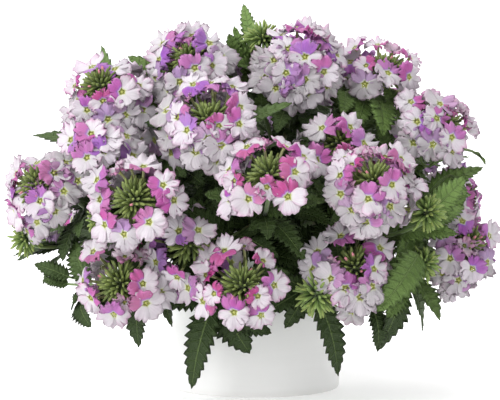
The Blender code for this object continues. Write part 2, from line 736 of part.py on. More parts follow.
def main():
    clear_scene()
    plant = new_collection("verbena")
    green = material("verbena green", (0.130, 0.240, 0.062), 0.55)
    petal = material("verbena petal", (0.880, 0.760, 0.880), 0.50)
    white = material("white pot", (0.860, 0.860, 0.850), 0.45)
    earth = material("potting soil", (0.055, 0.038, 0.026), 0.95)
    room = Room()

    pot = make_pot(plant, white)
    graph = bpy.context.evaluated_depsgraph_get()
    mesh = pot.evaluated_get(graph).to_mesh()
    room.take("pot", [v.co.copy() for v in mesh.vertices], [tuple(f.vertices) for f in mesh.polygons])

    routes, bodies, extras = {}, {}, {}
    for shoot, ends in SHOOTS.items():
        extras[shoot] = new_collection(shoot + "_parts")
        main_end = ends[0]
        routes[main_end], bodies[shoot] = grow_stem(main_end, shoot, None, room, extras[shoot])
    for shoot, ends in SHOOTS.items():
        for end in ends[1:]:
            routes[end], _ = grow_stem(end, shoot, routes[ends[0]], room, extras[shoot])
    make_soil(plant, earth, [routes[ends[0]] for ends in SHOOTS.values()])

    shoot_of = {end: shoot for shoot, ends in SHOOTS.items() for end in ends}
    leaves = {shoot: [] for shoot in SHOOTS}
    for end, shoot in shoot_of.items():
        if end not in SPRAYS:
            shape = tuft_shape(end)
            leaves[shoot].append(BVHTree.FromPolygons(*shape))
            add_shape(shape, end + "_tuft", shoot, room, extras[shoot])
    for name in HEADS:
        grow_head(name, room, petal, plant)

    for i, (tip, width) in enumerate(PLACED_LEAVES):
        tip = Vector(tip)
        outline = THREE_TEETH if width > LEAF_NARROW else TWO_TEETH
        tries = (
            (shoot_of[end], root, swung(root, tip, *swing))
            for swing in TIP_SWINGS
            for end, root in stem_places(routes, tip)
        )
        any(
            grow_leaf(f"placed_{i}", shoot, root, way, width, outline, room, leaves[shoot], extras[shoot])
            for shoot, root, way in tries
        )
    rng = random.Random(SEED)
    for end, shoot in shoot_of.items():
        for i, (root, tip) in enumerate(leaf_pair(end, routes[end], rng)):
            width = LEAF_WIDTH * rng.uniform(*LEAF_SIZES)
            name = f"{end}_{i}"
            tries = (swung(root, tip, *swing, size) for size in (1, LEAF_SIZES[0]) for swing in LEAF_SWINGS)
            any(
                grow_leaf(name, shoot, root, way, width, TWO_TEETH, room, leaves[shoot], extras[shoot])
                for way in tries
            )

    for shoot, body in bodies.items():
        extras[shoot].objects.unlink(body)
        plant.objects.link(body)
        body.name = shoot
        join_all(body, extras[shoot])
        body.data.materials.clear()
        body.data.materials.append(green)


main()
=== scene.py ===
import math
import random

import bpy
import numpy as np
from mathutils import Matrix


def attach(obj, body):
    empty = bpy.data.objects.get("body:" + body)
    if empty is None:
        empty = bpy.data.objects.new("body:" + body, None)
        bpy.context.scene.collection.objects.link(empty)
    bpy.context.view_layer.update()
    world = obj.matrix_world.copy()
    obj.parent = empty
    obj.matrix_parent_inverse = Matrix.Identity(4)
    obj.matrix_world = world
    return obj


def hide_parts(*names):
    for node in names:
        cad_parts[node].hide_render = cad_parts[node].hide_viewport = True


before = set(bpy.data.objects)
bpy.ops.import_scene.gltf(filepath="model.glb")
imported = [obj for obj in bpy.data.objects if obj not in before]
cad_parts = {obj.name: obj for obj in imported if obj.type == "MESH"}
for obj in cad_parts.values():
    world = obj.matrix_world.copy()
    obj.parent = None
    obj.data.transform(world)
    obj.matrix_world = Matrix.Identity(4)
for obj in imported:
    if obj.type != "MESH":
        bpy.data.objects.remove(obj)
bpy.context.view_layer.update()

# The pot and its soil, in metres, as the frame has them.
POT_RADIUS = 0.054
POT_HEIGHT = 0.098
POT_WALL = 0.0035
POT_FLOOR = 0.005
SOIL_TOP = 0.087
SOIL_GAP = 0.0003

# The way the photograph looks at the plant, in metres, degrees and pixels.
IMAGE_SIZE = (500, 400)
FOCAL_PIXELS = 2205
CAMERA = np.array((-0.0029, -1.4, 0.2))
CAMERA_DIP = 3.31

# How the frame seats things: a head's stem ends SEAT_DEPTH behind the middle of its ring of florets.
SEAT_DEPTH = 0.013
STRAIGHT_END = 0.008
STEM_BASE = 0.0021
STEM_TIP = 0.0014
FORK_SLIMNESS = 0.8
# A round stem's radius as a share of the frame's, which are half diagonals of square stems.
ROUNDED = 0.86
# The foot of a stem is in the soil, nearest to the middle of the pot for the highest seats.
STEM_FOOT = 0.074
BASE_NEAR = 0.008
BASE_FAR = 0.038
LOWEST_SEAT = 0.070
HIGHEST_SEAT = 0.210
# A stem's Bezier handles are shares of its reach, at its foot and at its seat.
MAIN_HANDLES = (0.45, 0.34)
FORK_HANDLES = (0.35, 0.34)
FORK_PLACE = 0.45
MAIN_SHARES = (0, 0.18, 0.45, 0.75, 1)
FORK_SHARES = (0, 0.33, 0.67, 1)
LEAF_ARCH = 0.10
LEAF_TROUGH = 0.18
PLANT_HEART = np.array((0, 0, 0.110))

# Flower heads: middle of the ring of florets, then the way it faces, as degrees round from the front
# (positive to the right) and degrees above level.
HEADS = {
    "top_left": ((-0.090, -0.060, 0.188), (-42, 45)),
    "top_mid": ((-0.039, -0.060, 0.207), (-18, 50)),
    "upper_mid": ((-0.026, -0.113, 0.172), (-14, 36)),
    "top_right": ((0.027, -0.058, 0.206), (8, 48)),
    "crown_right": ((0.081, -0.030, 0.199), (30, 55)),
    "right_high": ((0.114, -0.050, 0.168), (48, 38)),
    "left_mid": ((-0.128, -0.058, 0.129), (-52, 22)),
    "left_front": ((-0.070, -0.122, 0.126), (-22, 22)),
    "middle": ((0.009, -0.142, 0.141), (4, 38)),
    "right_front": ((0.070, -0.124, 0.136), (22, 38)),
    "low_left": ((-0.080, -0.100, 0.075), (-26, 8)),
    "low_left_mid": ((-0.038, -0.105, 0.101), (-12, 22)),
    "low_mid": ((-0.007, -0.126, 0.076), (0, 12)),
    "low_right": ((0.059, -0.112, 0.085), (16, 15)),
    "right_low": ((0.131, -0.048, 0.094), (52, 18)),
    "inner_right": ((0.050, -0.088, 0.158), (20, 50)),
    "inner_left": ((-0.099, -0.082, 0.155), (-46, 34)),
    "back_top": ((0.036, 0.022, 0.211), (120, 70)),
    "back_top_left": ((-0.050, 0.016, 0.210), (-120, 66)),
    "back_right_high": ((0.098, 0.048, 0.170), (116, 38)),
    "back_left_high": ((-0.110, 0.028, 0.164), (-106, 34)),
    "back_mid": ((0.036, 0.094, 0.174), (162, 42)),
    "back_mid_left": ((-0.052, 0.104, 0.154), (-156, 36)),
    "back_left_low": ((-0.112, 0.080, 0.108), (-126, 14)),
    "back_low": ((-0.014, 0.136, 0.104), (-176, 14)),
    "back_right_low": ((0.070, 0.114, 0.108), (148, 14)),
    "right_side": ((0.134, 0.032, 0.122), (102, 20)),
}
# Clusters of green buds with no open florets yet: place, the way they face, and size.
BUDS = {
    "bud_top": ((0.004, -0.036, 0.219), (40, 45), 1.0),
    "bud_left": ((-0.139, -0.040, 0.097), (-40, 35), 1.0),
    "bud_front": ((0.036, -0.113, 0.070), (5, 15), 1.1),
    "bud_right": ((0.101, -0.098, 0.116), (25, 45), 1.0),
    "bud_right_low": ((0.100, -0.084, 0.085), (30, 30), 0.9),
    "bud_inner_left": ((-0.091, -0.104, 0.112), (-30, 30), 0.7),
}
# Side shoots that end in leaves only: place and the way they face.
SPRAYS = {
    "spray_front": ((-0.026, -0.088, 0.058), (-12, -50)),
    "spray_right": ((0.112, -0.044, 0.124), (62, 15)),
}
# Each leafy shoot: its own end first, then the end that forks from it.
SHOOTS = {
    "shoot_top_left": ("top_left", "inner_left"),
    "shoot_top_mid": ("top_mid",),
    "shoot_upper_mid": ("upper_mid",),
    "shoot_top_right": ("top_right", "bud_top"),
    "shoot_crown_right": ("crown_right",),
    "shoot_right_high": ("right_high", "spray_right"),
    "shoot_left": ("left_mid", "bud_left"),
    "shoot_left_front": ("left_front", "bud_inner_left"),
    "shoot_middle": ("middle", "low_left_mid"),
    "shoot_right_front": ("right_front", "bud_right"),
    "shoot_inner_right": ("inner_right",),
    "shoot_low_left": ("low_left",),
    "shoot_low_mid": ("low_mid", "spray_front"),
    "shoot_low_right": ("low_right", "bud_front"),
    "shoot_right_low": ("right_low", "bud_right_low"),
    "shoot_back_top": ("back_top", "back_top_left"),
    "shoot_back_right": ("back_right_high", "right_side"),
    "shoot_back_left": ("back_left_high", "back_left_low"),
    "shoot_back_mid": ("back_mid", "back_right_low"),
    "shoot_back_low": ("back_low", "back_mid_left"),
}
# Stems that swing round the pot from the bearing of their seats, in degrees, and those whose first handle is
# raised, in metres, so that they clear the pot's rim.
SWINGS = {"inner_right": 7, "low_right": 14}
RAISED = {"low_left": 0.044, "low_mid": 0.048, "low_right": 0.040, "right_low": 0.028, "back_low": 0.020}

# The florets of the heads that face the camera: the eye's place in the photograph, in pixels read one by one,
# and the kind of floret if it isn't an open one.
OPEN, OLD, YOUNG, ROSY = range(4)
EYES = {
    "top_left": (
        (115, 69), (92, 67), (74, 86, YOUNG), (122, 92), (87, 110), (103, 101, YOUNG), (108, 119, OLD),
        (125, 115, OLD), (142, 110, OLD), (138, 124, OLD), (139, 86), (77, 101), (73, 113, OLD),
    ),
    "top_mid": (
        (192, 36), (209, 43), (159, 60), (212, 66), (195, 68), (180, 82, OLD), (168, 89, OLD),
        (156, 77, OLD), (175, 36), (165, 62, ROSY), (207, 48, ROSY), (163, 44), (222, 58, OLD),
    ),
    "upper_mid": (
        (211, 83), (233, 87), (240, 107), (239, 124), (219, 126, YOUNG), (183, 101, ROSY), (190, 97, ROSY),
        (178, 117), (187, 130), (208, 139, OLD), (221, 145, OLD), (160, 107, OLD), (193, 83),
        (171, 153, OLD), (216, 160, OLD), (170, 135, OLD), (229, 92, ROSY), (196, 152, OLD), (243, 140, OLD),
    ),
    "top_right": (
        (288, 49), (274, 60, OLD), (305, 57), (286, 73, OLD), (305, 79, OLD), (324, 72), (294, 88, OLD),
        (309, 92, OLD), (276, 88, OLD), (325, 40), (297, 27), (309, 29), (283, 35), (337, 55),
        (327, 86, OLD), (263, 62, OLD), (265, 78, OLD), (294, 99, OLD), (317, 32, YOUNG), (336, 72, OLD),
    ),
    "crown_right": (
        (388, 73), (365, 84, OLD), (409, 77), (350, 62), (396, 43, ROSY), (366, 66, YOUNG), (410, 58, YOUNG),
        (378, 42, YOUNG), (355, 48),
    ),
    "right_high": (
        (437, 118), (417, 122), (414, 143, OLD), (433, 144, OLD), (452, 137), (467, 128, YOUNG), (411, 102),
        (447, 109, YOUNG), (433, 97, ROSY), (424, 99, YOUNG), (464, 117, ROSY), (452, 151, OLD),
        (460, 110, ROSY), (440, 104, OLD),
    ),
    "left_mid": (
        (37, 163), (54, 173), (65, 163, OLD), (78, 181, OLD), (64, 191, OLD), (40, 201), (55, 211, OLD),
        (37, 222, OLD), (16, 212), (43, 184, ROSY), (11, 192, ROSY), (12, 172), (13, 201), (27, 231, OLD),
        (12, 182, YOUNG), (26, 197),
    ),
    "left_front": (
        (163, 185), (174, 200), (149, 222), (105, 225), (100, 199), (124, 234, OLD), (116, 222, ROSY),
        (166, 206, ROSY), (119, 172, ROSY), (143, 167), (97, 180, OLD), (130, 167, YOUNG),
    ),
    "inner_left": (
        (91, 134), (106, 139), (105, 151), (87, 158), (142, 140, OLD), (157, 139, OLD), (133, 156, OLD),
        (126, 136, OLD), (71, 140),
    ),
    "low_left": (
        (93, 252), (83, 281), (91, 298), (114, 314), (146, 303), (143, 284), (125, 257, ROSY),
        (141, 259, ROSY), (125, 302, ROSY), (131, 243, YOUNG), (160, 292, OLD),
    ),
    "low_left_mid": (
        (179, 231), (156, 262), (177, 277), (150, 239), (166, 300, OLD), (198, 230, OLD), (160, 275, OLD),
        (168, 289, OLD),
    ),
    "low_mid": (
        (224, 251), (209, 262), (206, 275, YOUNG), (214, 294, YOUNG), (203, 301), (234, 312), (261, 315),
        (258, 296, YOUNG), (274, 285), (263, 261, YOUNG), (244, 247, ROSY), (188, 288, OLD),
    ),
    "middle": (
        (264, 148, ROSY), (295, 172), (288, 197), (267, 187, YOUNG), (249, 199), (231, 200),
        (234, 181, YOUNG), (229, 170), (247, 147), (285, 146), (304, 157),
    ),
    "right_front": (
        (340, 176), (352, 165, YOUNG), (368, 199), (392, 185), (410, 183), (352, 190, ROSY), (390, 206, OLD),
        (341, 194, OLD), (352, 210, OLD), (377, 221, OLD), (366, 222, OLD), (364, 155, ROSY),
        (373, 154, ROSY), (386, 157, YOUNG), (401, 159), (396, 167, ROSY), (345, 158, YOUNG),
        (404, 173, OLD),
    ),
    "inner_right": (
        (350, 127), (322, 128, OLD), (364, 143), (345, 155, YOUNG), (316, 160),
    ),
    "low_right": (
        (341, 236), (380, 248), (374, 269), (317, 252, OLD), (313, 269, OLD), (346, 288), (360, 297, OLD),
        (372, 286, OLD), (332, 266, ROSY), (366, 240, ROSY), (352, 311, OLD), (386, 279, OLD),
        (331, 279, OLD),
    ),
    "right_low": (
        (462, 221), (442, 236, OLD), (450, 258, OLD), (472, 269), (489, 236), (443, 274, OLD),
        (455, 290, OLD), (464, 246, ROSY), (476, 249, ROSY), (459, 280, OLD), (487, 262, OLD),
        (461, 207, OLD),
    ),
}
# Leaves where the frame has them, in millimetres: the root, then the tip and the width of each leaf there.
LEAVES = {
    "shoot_top_mid": (
        ((-34, -46, 188), (-79, -26, 210, 15)), ((-28, -33, 170), (-53, -21, 194, 19), (-7, -70, 174, 18)),
    ),
    "shoot_top_right": (
        ((0, -22, 189), (-13, -28, 229, 12)), ((0, -30, 210), (-7, -6, 243, 10)),
        ((21, -29, 170), (-1, -58, 171, 20), (48, -21, 195, 18)),
        ((0, -22, 190), (-28, -32, 215, 20), (36, -25, 195, 19)),
    ),
    "shoot_right_high": (
        ((104, -40, 122), (142, -30, 141, 17)), ((83, -28, 142), (120, -30, 186, 15)),
        ((81, -26, 141), (68, -59, 163, 19), (117, -14, 141, 19)),
        ((102, -38, 122), (101, -76, 127, 20), (136, -15, 123, 18)),
    ),
    "shoot_right_front": (
        ((97, -92, 110), (127, -73, 137, 17), (127, -58, 120, 18)), ((98, -92, 94), (71, -118, 60, 22)),
        ((52, -84, 113), (34, -112, 134, 20), (87, -89, 114, 19)), ((80, -79, 102), (122, -79, 103, 18)),
    ),
    "shoot_right_low": (
        ((88, -55, 80), (112, -72, 50, 20)), ((90, -60, 80), (74, -70, 31, 22)),
        ((88, -55, 80), (104, -40, 40, 20)), ((87, -23, 94), (85, -60, 115, 20), (122, -7, 76, 20)),
        ((87, -53, 80), (63, -82, 91, 17), (122, -49, 76, 17)),
    ),
    "shoot_low_mid": (
        ((-24, -82, 65), (-38, -82, 10, 20)), ((-24, -81, 67), (-3, -80, 31, 24)),
        ((-5, -72, 92), (-34, -97, 84, 20), (33, -93, 85, 18)),
        ((-24, -81, 67), (-60, -90, 61, 18), (7, -93, 44, 19)),
    ),
    "shoot_low_right": (
        ((36, -94, 70), (50, -84, 18, 18)), ((38, -72, 83), (18, -78, 46, 20)),
        ((42, -62, 93), (18, -87, 102, 19), (78, -69, 83, 19)),
        ((37, -81, 75), (6, -104, 58, 19), (72, -87, 96, 20)),
    ),
    "shoot_low_left": (
        ((-66, -74, 76), (-70, -74, 34, 20)), ((-70, -80, 73), (-108, -60, 54, 18)),
        ((-55, -59, 87), (-50, -70, 46, 16)), ((-51, -55, 91), (-94, -53, 86, 20), (-25, -89, 97, 18)),
    ),
    "shoot_left": (
        ((-109, -24, 93), (-130, -52, 70, 16), (-150, -34, 86, 18)),
        ((-87, -32, 115), (-123, -13, 117, 20), (-81, -72, 124, 18)),
        ((-114, -25, 91), (-149, -20, 82, 19), (-100, -54, 118, 18)),
    ),
    "shoot_middle": (
        ((5, -87, 115), (8, -126, 103, 18)), ((6, -98, 117), (-30, -117, 129, 21), (42, -113, 125, 20)),
        ((-12, -72, 102), (-46, -72, 124, 20), (14, -106, 91, 20)),
    ),
    "shoot_inner_right": (
        ((41, -65, 133), (34, -106, 126, 18)), ((36, -56, 125), (8, -73, 145, 20), (72, -61, 130, 19)),
    ),
    "shoot_upper_mid": (
        ((-20, -89, 155), (22, -100, 182, 18)), ((-16, -73, 145), (-52, -74, 166, 21), (11, -103, 146, 19)),
    ),
    "shoot_top_left": (
        ((-70, -38, 162), (-97, 2, 217, 15)), ((-92, -30, 146), (-141, 2, 160, 14)),
        ((-64, -35, 156), (-92, -18, 173, 20), (-54, -70, 162, 19)),
        ((-69, -50, 137), (-100, -37, 150, 19), (-58, -85, 140, 19)),
    ),
    "shoot_crown_right": (
        ((62, -10, 161), (46, -43, 173, 19), (90, 6, 178, 17)),
    ),
    "shoot_left_front": (
        ((-49, -78, 112), (-85, -79, 117, 20), (-39, -117, 102, 19)),
        ((-70, -80, 104), (-101, -97, 117, 20), (-50, -108, 126, 19)),
    ),
    "shoot_back_top": (
        ((22, 14, 167), (0, 34, 189, 18), (57, 0, 178, 17)),
        ((-22, 9, 171), (-8, 32, 196, 17), (-56, -9, 176, 17)),
    ),
    "shoot_back_right": (
        ((62, 30, 142), (99, 12, 140, 18), (54, 60, 164, 18)),
        ((87, 25, 117), (108, -4, 125, 20), (102, 66, 114, 19)),
    ),
    "shoot_back_left": (
        ((-70, 17, 138), (-75, 52, 148, 17), (-94, -12, 147, 18)),
        ((-77, 47, 108), (-71, 82, 97, 17), (-114, 33, 125, 19)),
    ),
    "shoot_back_mid": (
        ((24, 59, 143), (56, 53, 167, 17), (1, 92, 144, 21)),
        ((43, 74, 110), (82, 73, 95, 18), (26, 106, 126, 18)),
    ),
    "shoot_back_low": (
        ((-10, 84, 102), (22, 107, 92, 20), (-43, 99, 114, 18)),
        ((-27, 76, 122), (-11, 117, 124, 20), (-60, 62, 145, 20)),
    ),
}
# Leaves on stalks of their own: the place on the stem, the root, then the tip and the width.
STALKED = {
    "shoot_top_right": (
        ((25, -44, 190), (22, -50, 184), (13, -68, 163, 17)),
        ((24, -39, 183), (46, -45, 176), (20, -60, 171, 19)),
        ((24, -42, 187), (39, -50, 176), (34, -70, 163, 15)),
        ((24, -39, 183), (4, -50, 177), (4, -60, 188, 14)),
        ((0, -28, 203), (0, -28, 203), (-10, -45, 215, 15)),
        ((0, -28, 203), (-9, -28, 204), (-16, -35, 224, 13)),
    ),
    "shoot_crown_right": (
        ((75, -20, 182), (56, -40, 188), (53, -55, 174, 14)),
        ((75, -20, 182), (73, -30, 188), (78, -55, 161, 24)),
        ((75, -20, 182), (69, -30, 188), (62, -52, 166, 18)),
        ((75, -20, 182), (85, -30, 180), (80, -35, 190, 13)),
        ((75, -20, 182), (82, -30, 180), (90, -45, 166, 8)),
    ),
    "shoot_low_mid": (((-21, -79, 70), (-19, -86, 56), (10, -86, 44, 16)),),
    "shoot_inner_right": (
        ((45, -75, 142), (43, -60, 162), (25, -72, 159, 15)),
        ((43, -70, 138), (30, -85, 130), (40, -100, 134, 12)),
    ),
    "shoot_middle": (
        ((5, -81, 114), (19, -80, 120), (-4, -100, 106, 16)),
        ((5, -81, 114), (-9, -92, 133), (6, -90, 150, 15)),
        ((5, -81, 114), (25, -80, 116), (46, -95, 109, 16)),
        ((5, -69, 112), (15, -70, 102), (27, -90, 87, 16)),
    ),
    "shoot_left": (
        ((-109, -44, 120), (-102, -60, 113), (-105, -82, 101, 14)),
        ((-106, -42, 119), (-106, -50, 110), (-117, -60, 85, 20)),
    ),
    "shoot_low_left": (
        ((-71, -81, 72), (-107, -60, 61), (-99, -72, 46, 16)),
        ((-71, -81, 72), (-112, -60, 75), (-135, -55, 83, 11)),
        ((-71, -81, 72), (-113, -60, 71), (-130, -55, 73, 9)),
        ((-71, -81, 72), (-100, -66, 72), (-110, -58, 98, 18)),
        ((-71, -81, 72), (-104, -64, 68), (-112, -60, 55, 8)),
    ),
    "shoot_top_left": (
        ((-81, -65, 141), (-83, -60, 147), (-97, -85, 141, 13)),
        ((-62, -43, 137), (-45, -60, 141), (-30, -80, 132, 18)),
        ((-68, -49, 137), (-55, -60, 147), (-41, -80, 137, 16)),
        ((-77, -47, 170), (-64, -60, 172), (-58, -85, 167, 12)),
        ((-75, -44, 167), (-64, -60, 168), (-49, -90, 164, 13)),
    ),
    "shoot_right_high": (
        ((105, -40, 122), (106, -55, 109), (129, -60, 125, 20)),
        ((102, -39, 155), (107, -40, 142), (132, -45, 148, 16)),
        ((102, -39, 122), (90, -60, 125), (105, -80, 130, 16)),
        ((102, -39, 155), (136, -30, 151), (143, -35, 143, 5)),
        ((105, -40, 122), (121, -50, 137), (127, -55, 119, 16)),
    ),
    "shoot_left_front": (((-36, -57, 109), (-30, -60, 119), (-41, -85, 111, 17)),),
    "shoot_upper_mid": (((-14, -62, 138), (-24, -60, 135), (-20, -85, 115, 15)),),
    "shoot_low_right": (((38, -62, 91), (27, -70, 100), (21, -90, 79, 15)),),
    "shoot_right_front": (((84, -82, 103), (93, -70, 101), (83, -100, 88, 15)),),
    "shoot_right_low": (
        ((91, -65, 80), (88, -65, 71), (79, -85, 53, 17)), ((91, -65, 80), (71, -76, 59), (74, -74, 32, 16)),
    ),
}


def material(name, roughness):
    """A new material with its tree, its Principled shader and that shader's roughness set."""
    made = bpy.data.materials.new(name)
    made.use_nodes = True
    shader = made.node_tree.nodes["Principled BSDF"]
    shader.inputs["Roughness"].default_value = roughness
    return made, made.node_tree, shader


def node(tree, kind, values=None, **settings):
    """A shader node with its settings, and its inputs set or linked by values."""
    made = tree.nodes.new(kind)
    for key, value in settings.items():
        setattr(made, key, value)
    for key, value in (values or {}).items():
        if isinstance(value, bpy.types.NodeSocket):
            tree.links.new(value, made.inputs[key])
        else:
            made.inputs[key].default_value = value
    return made


def maths(tree, kind, a, b=0.0, c=0.0):
    return node(tree, "ShaderNodeMath", {0: a, 1: b, 2: c}, operation=kind).outputs[0]


def times(tree, a, b):
    return maths(tree, "MULTIPLY", a, b)


def mix(tree, share, a, b):
    """The colour a mixed with the colour b."""
    a, b = ((*value, 1) if isinstance(value, tuple) else value for value in (a, b))
    return node(tree, "ShaderNodeMix", {0: share, 6: a, 7: b}, data_type="RGBA").outputs[2]


def tinted(tree, base, colour, share, strength):
    """The colour base with another one over it, as far as share times strength."""
    return mix(tree, times(tree, share, strength), base, colour)


def ramp(tree, share, low, high):
    """A smooth step from 0 at low to 1 at high."""
    made = node(tree, "ShaderNodeMapRange", {0: share, 1: low, 2: high}, interpolation_type="SMOOTHSTEP")
    return made.outputs[0]


def parts_of(tree, attribute):
    """The three numbers of a mesh's colour attribute."""
    read = node(tree, "ShaderNodeAttribute", attribute_name=attribute)
    split = node(tree, "ShaderNodeSeparateColor", {0: read.outputs["Color"]})
    return split.outputs[0], split.outputs[1], split.outputs[2]


def noise(tree, scale, detail=2.0, rough=0.5):
    place = node(tree, "ShaderNodeTexCoord").outputs["Object"]
    values = {"Vector": place, "Scale": scale, "Detail": detail, "Roughness": rough}
    return node(tree, "ShaderNodeTexNoise", values).outputs[0]


def bump(tree, shader, height, strength, distance):
    made = node(tree, "ShaderNodeBump", {"Height": height, "Strength": strength, "Distance": distance})
    tree.links.new(made.outputs[0], shader.inputs["Normal"])


def petal_material():
    """White petals with lilac edges and veins, and magenta to violet ones. coord is across, along and the
    floret's age, which fades the colours and also greys the white as painted shade, and tint is how magenta,
    how far from violet through magenta to crimson, and how pink the edge."""
    made, tree, shader = material("verbena petal", 0.55)
    across, along, age_and_shade = parts_of(tree, "coord")
    magenta, warm, edge = parts_of(tree, "tint")
    mottle = noise(tree, 260, 3)
    side = maths(tree, "ABSOLUTE", maths(tree, "MULTIPLY_ADD", across, 2, -1))
    wave = maths(tree, "SINE", times(tree, across, 44))
    vein = times(tree, maths(tree, "MULTIPLY_ADD", wave, 0.5, 0.5), ramp(tree, along, 0.1, 0.5))
    rim = maths(tree, "MAXIMUM", ramp(tree, along, 0.62, 1.0), ramp(tree, side, 0.66, 1.05))

    white = mix(tree, mottle, (0.605, 0.57, 0.605), (0.50, 0.445, 0.505))
    # Age greys the white: partly the fading of old florets, partly painted shade, as the old ones sit mostly
    # low in the heads.
    white = tinted(tree, white, (0.30, 0.288, 0.285), age_and_shade, 0.85)
    white = tinted(tree, white, (0.36, 0.30, 0.39), vein, 0.14)
    patches = maths(tree, "MULTIPLY_ADD", ramp(tree, noise(tree, 90, 1), 0.35, 0.65), 0.8, 0.2)
    white = tinted(tree, white, (0.50, 0.20, 0.38), times(tree, rim, edge), patches)

    rosy = mix(tree, ramp(tree, warm, 0.0, 0.6), (0.19, 0.040, 0.35), (0.35, 0.028, 0.22))
    rosy = mix(tree, ramp(tree, warm, 0.7, 1.0), rosy, (0.34, 0.008, 0.12))
    rosy = tinted(tree, rosy, (0.44, 0.12, 0.42), mottle, 0.16)
    violet = mix(tree, ramp(tree, along, 0.08, 0.38), (0.19, 0.065, 0.42), rosy)
    violet = tinted(tree, violet, (0.30, 0.02, 0.25), vein, 0.25)
    violet = tinted(tree, violet, (0.50, 0.22, 0.45), rim, 0.20)
    violet = tinted(tree, violet, (0.27, 0.155, 0.29), age_and_shade, 0.50)

    colour = mix(tree, magenta, white, violet)
    colour = tinted(tree, colour, (0.53, 0.55, 0.38), ramp(tree, along, 0.22, 0.10), 0.6)
    colour = mix(tree, ramp(tree, along, 0.13, 0.04), colour, (0.34, 0.36, 0.07))
    tree.links.new(colour, shader.inputs["Base Color"])
    shader.inputs["Subsurface Weight"].default_value = 0.25
    shader.inputs["Subsurface Radius"].default_value = (0.004, 0.003, 0.004)
    shader.inputs["Subsurface Scale"].default_value = 0.5
    shader.inputs["Specular IOR Level"].default_value = 0.25
    bump(tree, shader, maths(tree, "MULTIPLY_ADD", wave, 0.3, mottle), 0.22, 0.0004)
    return made


def throat_material():
    """The corolla tube: olive in its mouth, then pale green, and brownish at its foot. coord holds along."""
    made, tree, shader = material("corolla tube", 0.55)
    _, along, _ = parts_of(tree, "coord")
    colour = mix(tree, ramp(tree, along, 0.0, 0.12), (0.26, 0.28, 0.04), (0.36, 0.38, 0.08))
    colour = mix(tree, ramp(tree, along, 0.12, 0.35), colour, (0.40, 0.42, 0.20))
    colour = tinted(tree, colour, (0.26, 0.28, 0.10), noise(tree, 300), 0.5)
    tree.links.new(colour, shader.inputs["Base Color"])
    bump(tree, shader, noise(tree, 900), 0.3, 0.0003)
    return made


def calyx_material():
    """Green calyces, lighter towards the tip, partly their own paler tips and partly painted highlight, with
    painted shade at the foot where the calyces crowd. coord holds along, and tint is how rosy the tip is, how
    light the calyx is, and whether it is fresh."""
    made, tree, shader = material("verbena calyx", 0.6)
    _, along, _ = parts_of(tree, "coord")
    rosy, light, fresh = parts_of(tree, "tint")
    # Painted shade darkens the foot of each calyx where the calyces crowd; the lighter tip is partly its own
    # colour and partly painted highlight.
    plain = mix(tree, ramp(tree, along, 0.10, 0.75), (0.028, 0.042, 0.007), (0.096, 0.134, 0.022))
    bright = mix(tree, ramp(tree, along, 0.05, 0.7), (0.035, 0.070, 0.014), (0.190, 0.310, 0.075))
    colour = mix(tree, fresh, plain, bright)
    colour = tinted(tree, colour, (0.25, 0.30, 0.068), light, ramp(tree, along, 0.3, 0.95))
    colour = tinted(tree, colour, (0.070, 0.11, 0.024), noise(tree, 700), 0.5)
    colour = tinted(tree, colour, (0.50, 0.17, 0.22), rosy, ramp(tree, along, 0.72, 0.92))
    tree.links.new(colour, shader.inputs["Base Color"])
    shader.inputs["Sheen Weight"].default_value = 0.10
    shader.inputs["Sheen Roughness"].default_value = 0.4
    bump(tree, shader, noise(tree, 1500, 3), 0.6, 0.0005)
    return made


def leaf_material():
    """Wrinkled green leaves. coord is across and how far it is to a side vein, and tint is whether it is the
    underside and how light the leaf is, which is painted light and shade from where the leaf sits."""
    made, tree, shader = material("verbena leaf", 0.6)
    across, vein, _ = parts_of(tree, "coord")
    under, light, _ = parts_of(tree, "tint")
    side = maths(tree, "ABSOLUTE", maths(tree, "MULTIPLY_ADD", across, 2, -1))
    mottle = noise(tree, 140, 4)
    fine = noise(tree, 620, 3)
    dark = mix(tree, mottle, (0.013, 0.028, 0.005), (0.030, 0.055, 0.011))
    bright = mix(tree, mottle, (0.095, 0.170, 0.036), (0.165, 0.255, 0.068))
    # Painted light and shade: a leaf's light number mixes its dark and bright greens.
    colour = mix(tree, light, dark, bright)
    colour = tinted(tree, colour, (0.070, 0.115, 0.030), ramp(tree, fine, 0.5, 0.75), 0.22)
    ribs = maths(tree, "MAXIMUM", ramp(tree, vein, 0.20, 0.02), ramp(tree, side, 0.07, 0.02))
    colour = tinted(tree, colour, (0.105, 0.165, 0.048), ribs, 0.30)
    colour = tinted(tree, colour, (0.15, 0.22, 0.07), ramp(tree, side, 0.09, 0.03), 0.5)
    colour = tinted(tree, colour, (0.100, 0.150, 0.060), under, 0.55)
    tree.links.new(colour, shader.inputs["Base Color"])
    shader.inputs["Specular IOR Level"].default_value = 0.3
    height = maths(tree, "MULTIPLY_ADD", ribs, -0.8, maths(tree, "ADD", fine, mottle))
    bump(tree, shader, height, 0.9, 0.0012)
    return made


def stem_material():
    made, tree, shader = material("verbena stem", 0.55)
    colour = mix(tree, noise(tree, 120, 3), (0.060, 0.120, 0.028), (0.150, 0.210, 0.060))
    colour = mix(tree, ramp(tree, noise(tree, 45), 0.55, 0.8), colour, (0.17, 0.09, 0.05))
    tree.links.new(colour, shader.inputs["Base Color"])
    shader.inputs["Sheen Weight"].default_value = 0.3
    bump(tree, shader, noise(tree, 1200, 3), 0.4, 0.0004)
    return made


